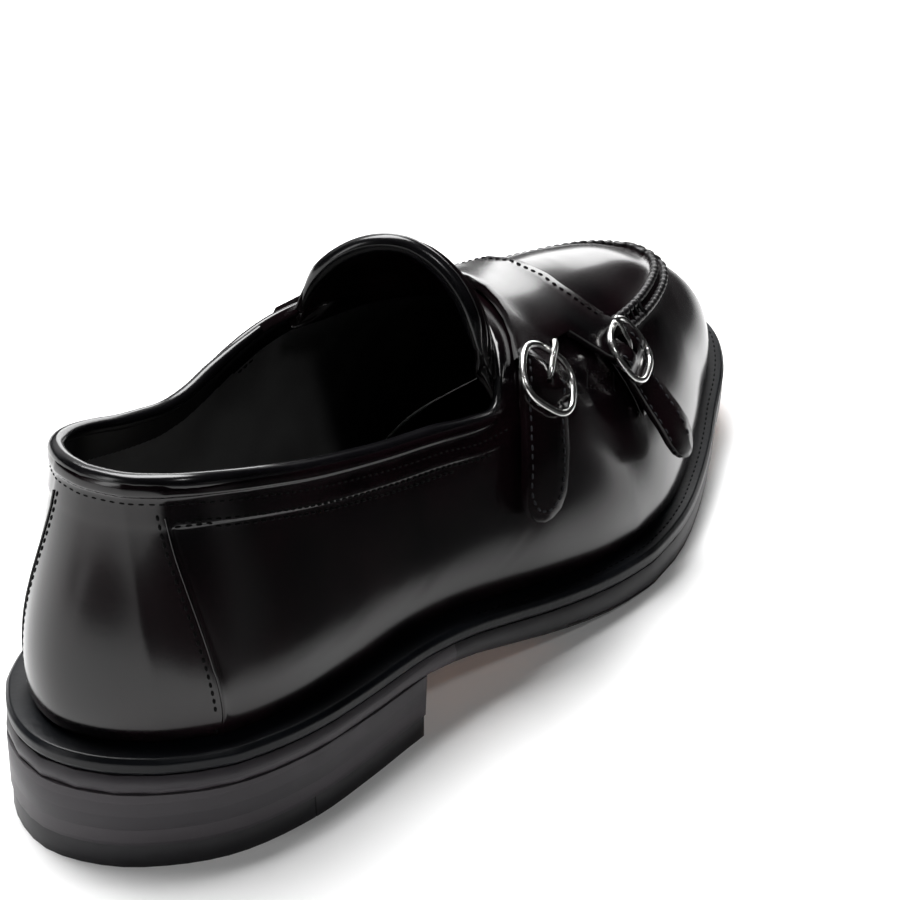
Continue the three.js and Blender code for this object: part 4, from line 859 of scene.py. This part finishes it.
def inset_outline(table, inset, side, first, last):
    """Line inside one side of the sole's outline, between two shares of it."""
    points = [Vector((x, y, 0)) for x, y in table]
    moved = []
    for i in range(1, len(points) - 1):
        along = (points[i + 1] - points[i - 1]).normalized()
        moved.append(points[i] + Vector((-along.y, along.x, 0)) * side * inset)
    count = len(moved)
    return moved[int(first * count):int(last * count) + 1]


front_lateral = inset_outline(outline_lateral, 5.0, 1, 0.29, 1.0)
front_medial = inset_outline(outline_medial, 5.0, -1, 0.29, 1.0)
tip = [Vector((147.2, 6.2, 0))]
sole_skin = tree_of(outsole, half_sole)
bottom_line = smooth_line([p * MM for p in front_lateral + tip + front_medial[::-1]], 0.0034)


def underneath(points, tree):
    """Places and normals on the underside, straight above the given points."""
    row = []
    for p in points:
        spot, normal, _, _ = tree.ray_cast(Vector((p.x, p.y, -0.02)), Vector((0, 0, 1)))
        if spot is not None and spot.z < 0.03:
            row.append((spot, Vector((0, 0, -1)) if normal.z > 0 else normal))
    return row


bottom_row = underneath(bottom_line, sole_skin)


def over_rubber(p):
    """Whether a place lies under the rubber, whose ends are given from the back of the heel."""
    rear = np.interp(p.y / MM, [-49, -25, -5, 14, 27, 40], [142.5, 140.5, 142.5, 148, 153.5, 160.5])
    front = np.interp(p.y / MM, [-55, 55], [244, 252])
    return rear < p.x / MM - HEEL_BACK < front


stitches("sole_stitches_pale", [[r for r in bottom_row if over_rubber(r[0])]],
         0.0026, 0.0009, 0.0007, pale_thread, "sole_rubber")
leather_rows = [[], [], []]
for r in bottom_row:
    if over_rubber(r[0]):
        continue
    leather_rows[1 if r[0].x > 0.07 else (0 if r[0].y < 0 else 2)].append(r)
stitches("sole_stitches_dark", leather_rows, 0.0026, 0.0009, 0.0007, black_thread, "sole_leather")

# Wheel marks and stitches across the waist in front of the heel.
breast_x = [(-40, 93), (-20, 91), (0, 91.5), (15, 94), (32, 98)]
cross = [Vector((x + HEEL_BACK, y, 0)) * MM for y, x in breast_x]
marks = smooth_line([p + Vector((0.0035, 0, 0)) for p in cross], 0.0012)
stitches("waist_marks", [underneath(marks, sole_skin)],
         0.003, 0.0005, 0.0004, black_thread, "sole_leather", turn=math.pi / 2)
stitches("waist_stitches", [underneath(smooth_line(cross, 0.003), sole_skin)],
         0.0022, 0.0007, 0.0005, black_thread, "sole_leather")

# Brass nails of the heel's top piece.
nail_places = [(71.7, -24), (61.2, -27), (50.7, -26), (84, 27), (74, 31), (64, 32.5)]
nails = []
for x, y in nail_places:
    bpy.ops.object.select_all(action="DESELECT")
    bpy.ops.mesh.primitive_cylinder_add(vertices=20, radius=0.0009, depth=0.0014,
                                        location=((x + HEEL_BACK) * MM, y * MM, 0.00062))
    nail = bpy.context.view_layer.objects.active
    bpy.ops.object.transform_apply(location=True, rotation=True, scale=True)
    round_edges(nail, 0.0002, 50)
    nails.append(nail)
bpy.ops.object.select_all(action="DESELECT")
for nail in nails:
    nail.select_set(True)
bpy.context.view_layer.objects.active = nails[0]
bpy.ops.object.join()
nails[0].name = "heel_nails"
bpy.ops.object.shade_smooth_by_angle(angle=math.radians(40))
hand_over(nails[0], brass_nail, "buckle_metal")

# Stitches sunk in the welt round the front of the shoe.
welt_lateral = inset_outline(outline_lateral, 3.0, 1, 0.36, 1.0)
welt_medial = inset_outline(outline_medial, 3.0, -1, 0.36, 1.0)
welt_course = welt_lateral + [Vector((149.3, 6.2, 0))] + welt_medial[::-1]
welt_line = smooth_line([p * MM for p in welt_course], 0.0027)
welt_row = []
for p in welt_line:
    spot, normal, _, _ = welt_skin.ray_cast(Vector((p.x, p.y, 0.06)), Vector((0, 0, -1)))
    if spot is not None:
        welt_row.append((spot, normal))
stitches("welt_stitches", [welt_row], 0.0021, 0.0008, 0.0006, black_thread, "welt")

# Studio
bpy.ops.object.select_all(action="DESELECT")
bpy.ops.mesh.primitive_plane_add(size=9, location=(0, 0, 0))
floor = bpy.context.view_layer.objects.active
floor.name = "pale_floor"
floor_finish = bpy.data.materials.new("pale_floor")
floor_finish.use_nodes = True
floor_tree = floor_finish.node_tree
floor_shader = floor_tree.nodes["Principled BSDF"]
floor_shader.inputs["Base Color"].default_value = (0.92, 0.92, 0.92, 1)
floor_shader.inputs["Roughness"].default_value = 0.9
floor_shader.inputs["Specular IOR Level"].default_value = 0.1
# The camera sees a pale floor. Painted reflection: glossy rays see it dark on the buckle side and beyond the
# toe.
painted_dark_reflection = floor_tree.nodes.new("ShaderNodeBsdfDiffuse")
painted_dark_reflection.inputs["Color"].default_value = (0.03, 0.03, 0.03, 1)
place = floor_tree.nodes.new("ShaderNodeTexCoord")
split = floor_tree.nodes.new("ShaderNodeSeparateXYZ")
floor_tree.links.new(place.outputs["Object"], split.inputs[0])
spread_out = math_node(floor_tree, "MULTIPLY", math_node(floor_tree, "ABSOLUTE", split.outputs["X"]), -0.3)
drift = math_node(floor_tree, "ADD", spread_out, math_node(floor_tree, "MULTIPLY", split.outputs["X"], 0.05))
ahead = math_node(floor_tree, "SUBTRACT", drift, split.outputs["Y"])
far = ranged(floor_tree, ahead, 0.058, 0.1)
seen_by = floor_tree.nodes.new("ShaderNodeLightPath")
outer = math_node(floor_tree, "MAXIMUM", far, ranged(floor_tree, split.outputs["X"], 0.22, 0.36))
# Painted reflection: two faint paler bands in that dark mirrored floor, placed so that the counter shows
# them as highlights.
bearing = math_node(floor_tree, "ARCTAN2", math_node(floor_tree, "ADD", split.outputs["Y"], 0.02),
                    math_node(floor_tree, "ADD", split.outputs["X"], 0.13))
for middle, half_width in ((-2.72, 0.17), (-1.5, 0.3)):
    off = math_node(floor_tree, "ABSOLUTE", math_node(floor_tree, "SUBTRACT", bearing, middle))
    outer = math_node(floor_tree, "MULTIPLY", outer, ranged(floor_tree, off, 0.0, half_width, 0.9, 1.0))
# Painted reflection: how much of the dark floor the glossy rays see.
painted_reflection_mix = math_node(floor_tree, "MULTIPLY", outer, seen_by.outputs["Is Glossy Ray"])
reach = floor_tree.nodes.new("ShaderNodeVectorMath")
reach.operation = "LENGTH"
floor_tree.links.new(place.outputs["Object"], reach.inputs[0])
haze = ranged(floor_tree, reach.outputs["Value"], 0.4, 1.2, 0.06, 1.0)
glow = math_node(floor_tree, "MULTIPLY", haze, seen_by.outputs["Is Camera Ray"])
floor_shader.inputs["Emission Color"].default_value = (1, 1, 1, 1)
floor_tree.links.new(glow, floor_shader.inputs["Emission Strength"])
blend = floor_tree.nodes.new("ShaderNodeMixShader")
floor_tree.links.new(painted_reflection_mix, blend.inputs[0])
floor_tree.links.new(floor_shader.outputs[0], blend.inputs[1])
floor_tree.links.new(painted_dark_reflection.outputs[0], blend.inputs[2])
floor_tree.links.new(blend.outputs[0], floor_tree.nodes["Material Output"].inputs["Surface"])
floor.data.materials.append(floor_finish)

# Walls of the studio as the shoe mirrors them: white behind it, dark on the camera's side and near the
# horizon. The camera itself sees them white.
world = bpy.data.worlds.new("studio")
world.use_nodes = True
world_tree = world.node_tree
background = world_tree.nodes["Background"]
heading = world_tree.nodes.new("ShaderNodeTexCoord")
parts = world_tree.nodes.new("ShaderNodeSeparateXYZ")
world_tree.links.new(heading.outputs["Generated"], parts.inputs[0])
behind = math_node(world_tree, "ADD", math_node(world_tree, "MULTIPLY", parts.outputs["X"], 0.6),
                   math_node(world_tree, "MULTIPLY", parts.outputs["Y"], 0.8))
wall = ranged(world_tree, behind, 0.45, 0.95, 0.012, 0.85, soft=True)
direct = world_tree.nodes.new("ShaderNodeLightPath")
rise = ranged(world_tree, parts.outputs["Z"], 0.14, 0.38, 0.04, 1.0, soft=True)
lit = math_node(world_tree, "MULTIPLY", wall, rise)
strength = math_node(world_tree, "MAXIMUM", lit, direct.outputs["Is Camera Ray"])
world_tree.links.new(strength, background.inputs["Strength"])
background.inputs["Color"].default_value = (1, 1, 1, 1)
bpy.context.scene.world = world
bpy.context.scene.view_settings.view_transform = "Standard"


def softbox(name, place, aim, width, height, power):
    data = bpy.data.lights.new(name, "AREA")
    data.shape = "RECTANGLE"
    data.size = width
    data.size_y = height
    data.energy = power
    lamp = bpy.data.objects.new(name, data)
    bpy.context.scene.collection.objects.link(lamp)
    lamp.location = place
    lamp.rotation_euler = (Vector(aim) - Vector(place)).to_track_quat("-Z", "Y").to_euler()
    return lamp


softbox("overhead_box", (0.3, 0.75, 1.9), (0, 0.0, 0), 1.5, 1.2, 92)
softbox("back_box", (1.36, 0.8, 0.38), (0.05, 0, 0.06), 1.05, 0.6, 8)
softbox("left_box", (-1.5, 0.55, 0.55), (-0.1, 0, 0.04), 0.3, 0.9, 4)
softbox("front_fill", (-0.5, -1.5, 2.2), (0, 0, 0), 0.3, 0.3, 7)

camera_data = bpy.data.cameras.new("camera")
camera = bpy.data.objects.new("camera", camera_data)
bpy.context.scene.collection.objects.link(camera)
bpy.context.scene.camera = camera
camera.location = (-0.3692, -0.2531, 0.2804)
aim_at = Vector((-0.004, -0.005, 0.041))
aim = (aim_at - camera.location).to_track_quat("-Z", "Y")
camera.rotation_euler = (aim @ Matrix.Rotation(math.radians(2.5), 3, "Z").to_quaternion()).to_euler()
camera_data.lens = 74
camera_data.sensor_width = 36
camera_data.clip_start = 0.01
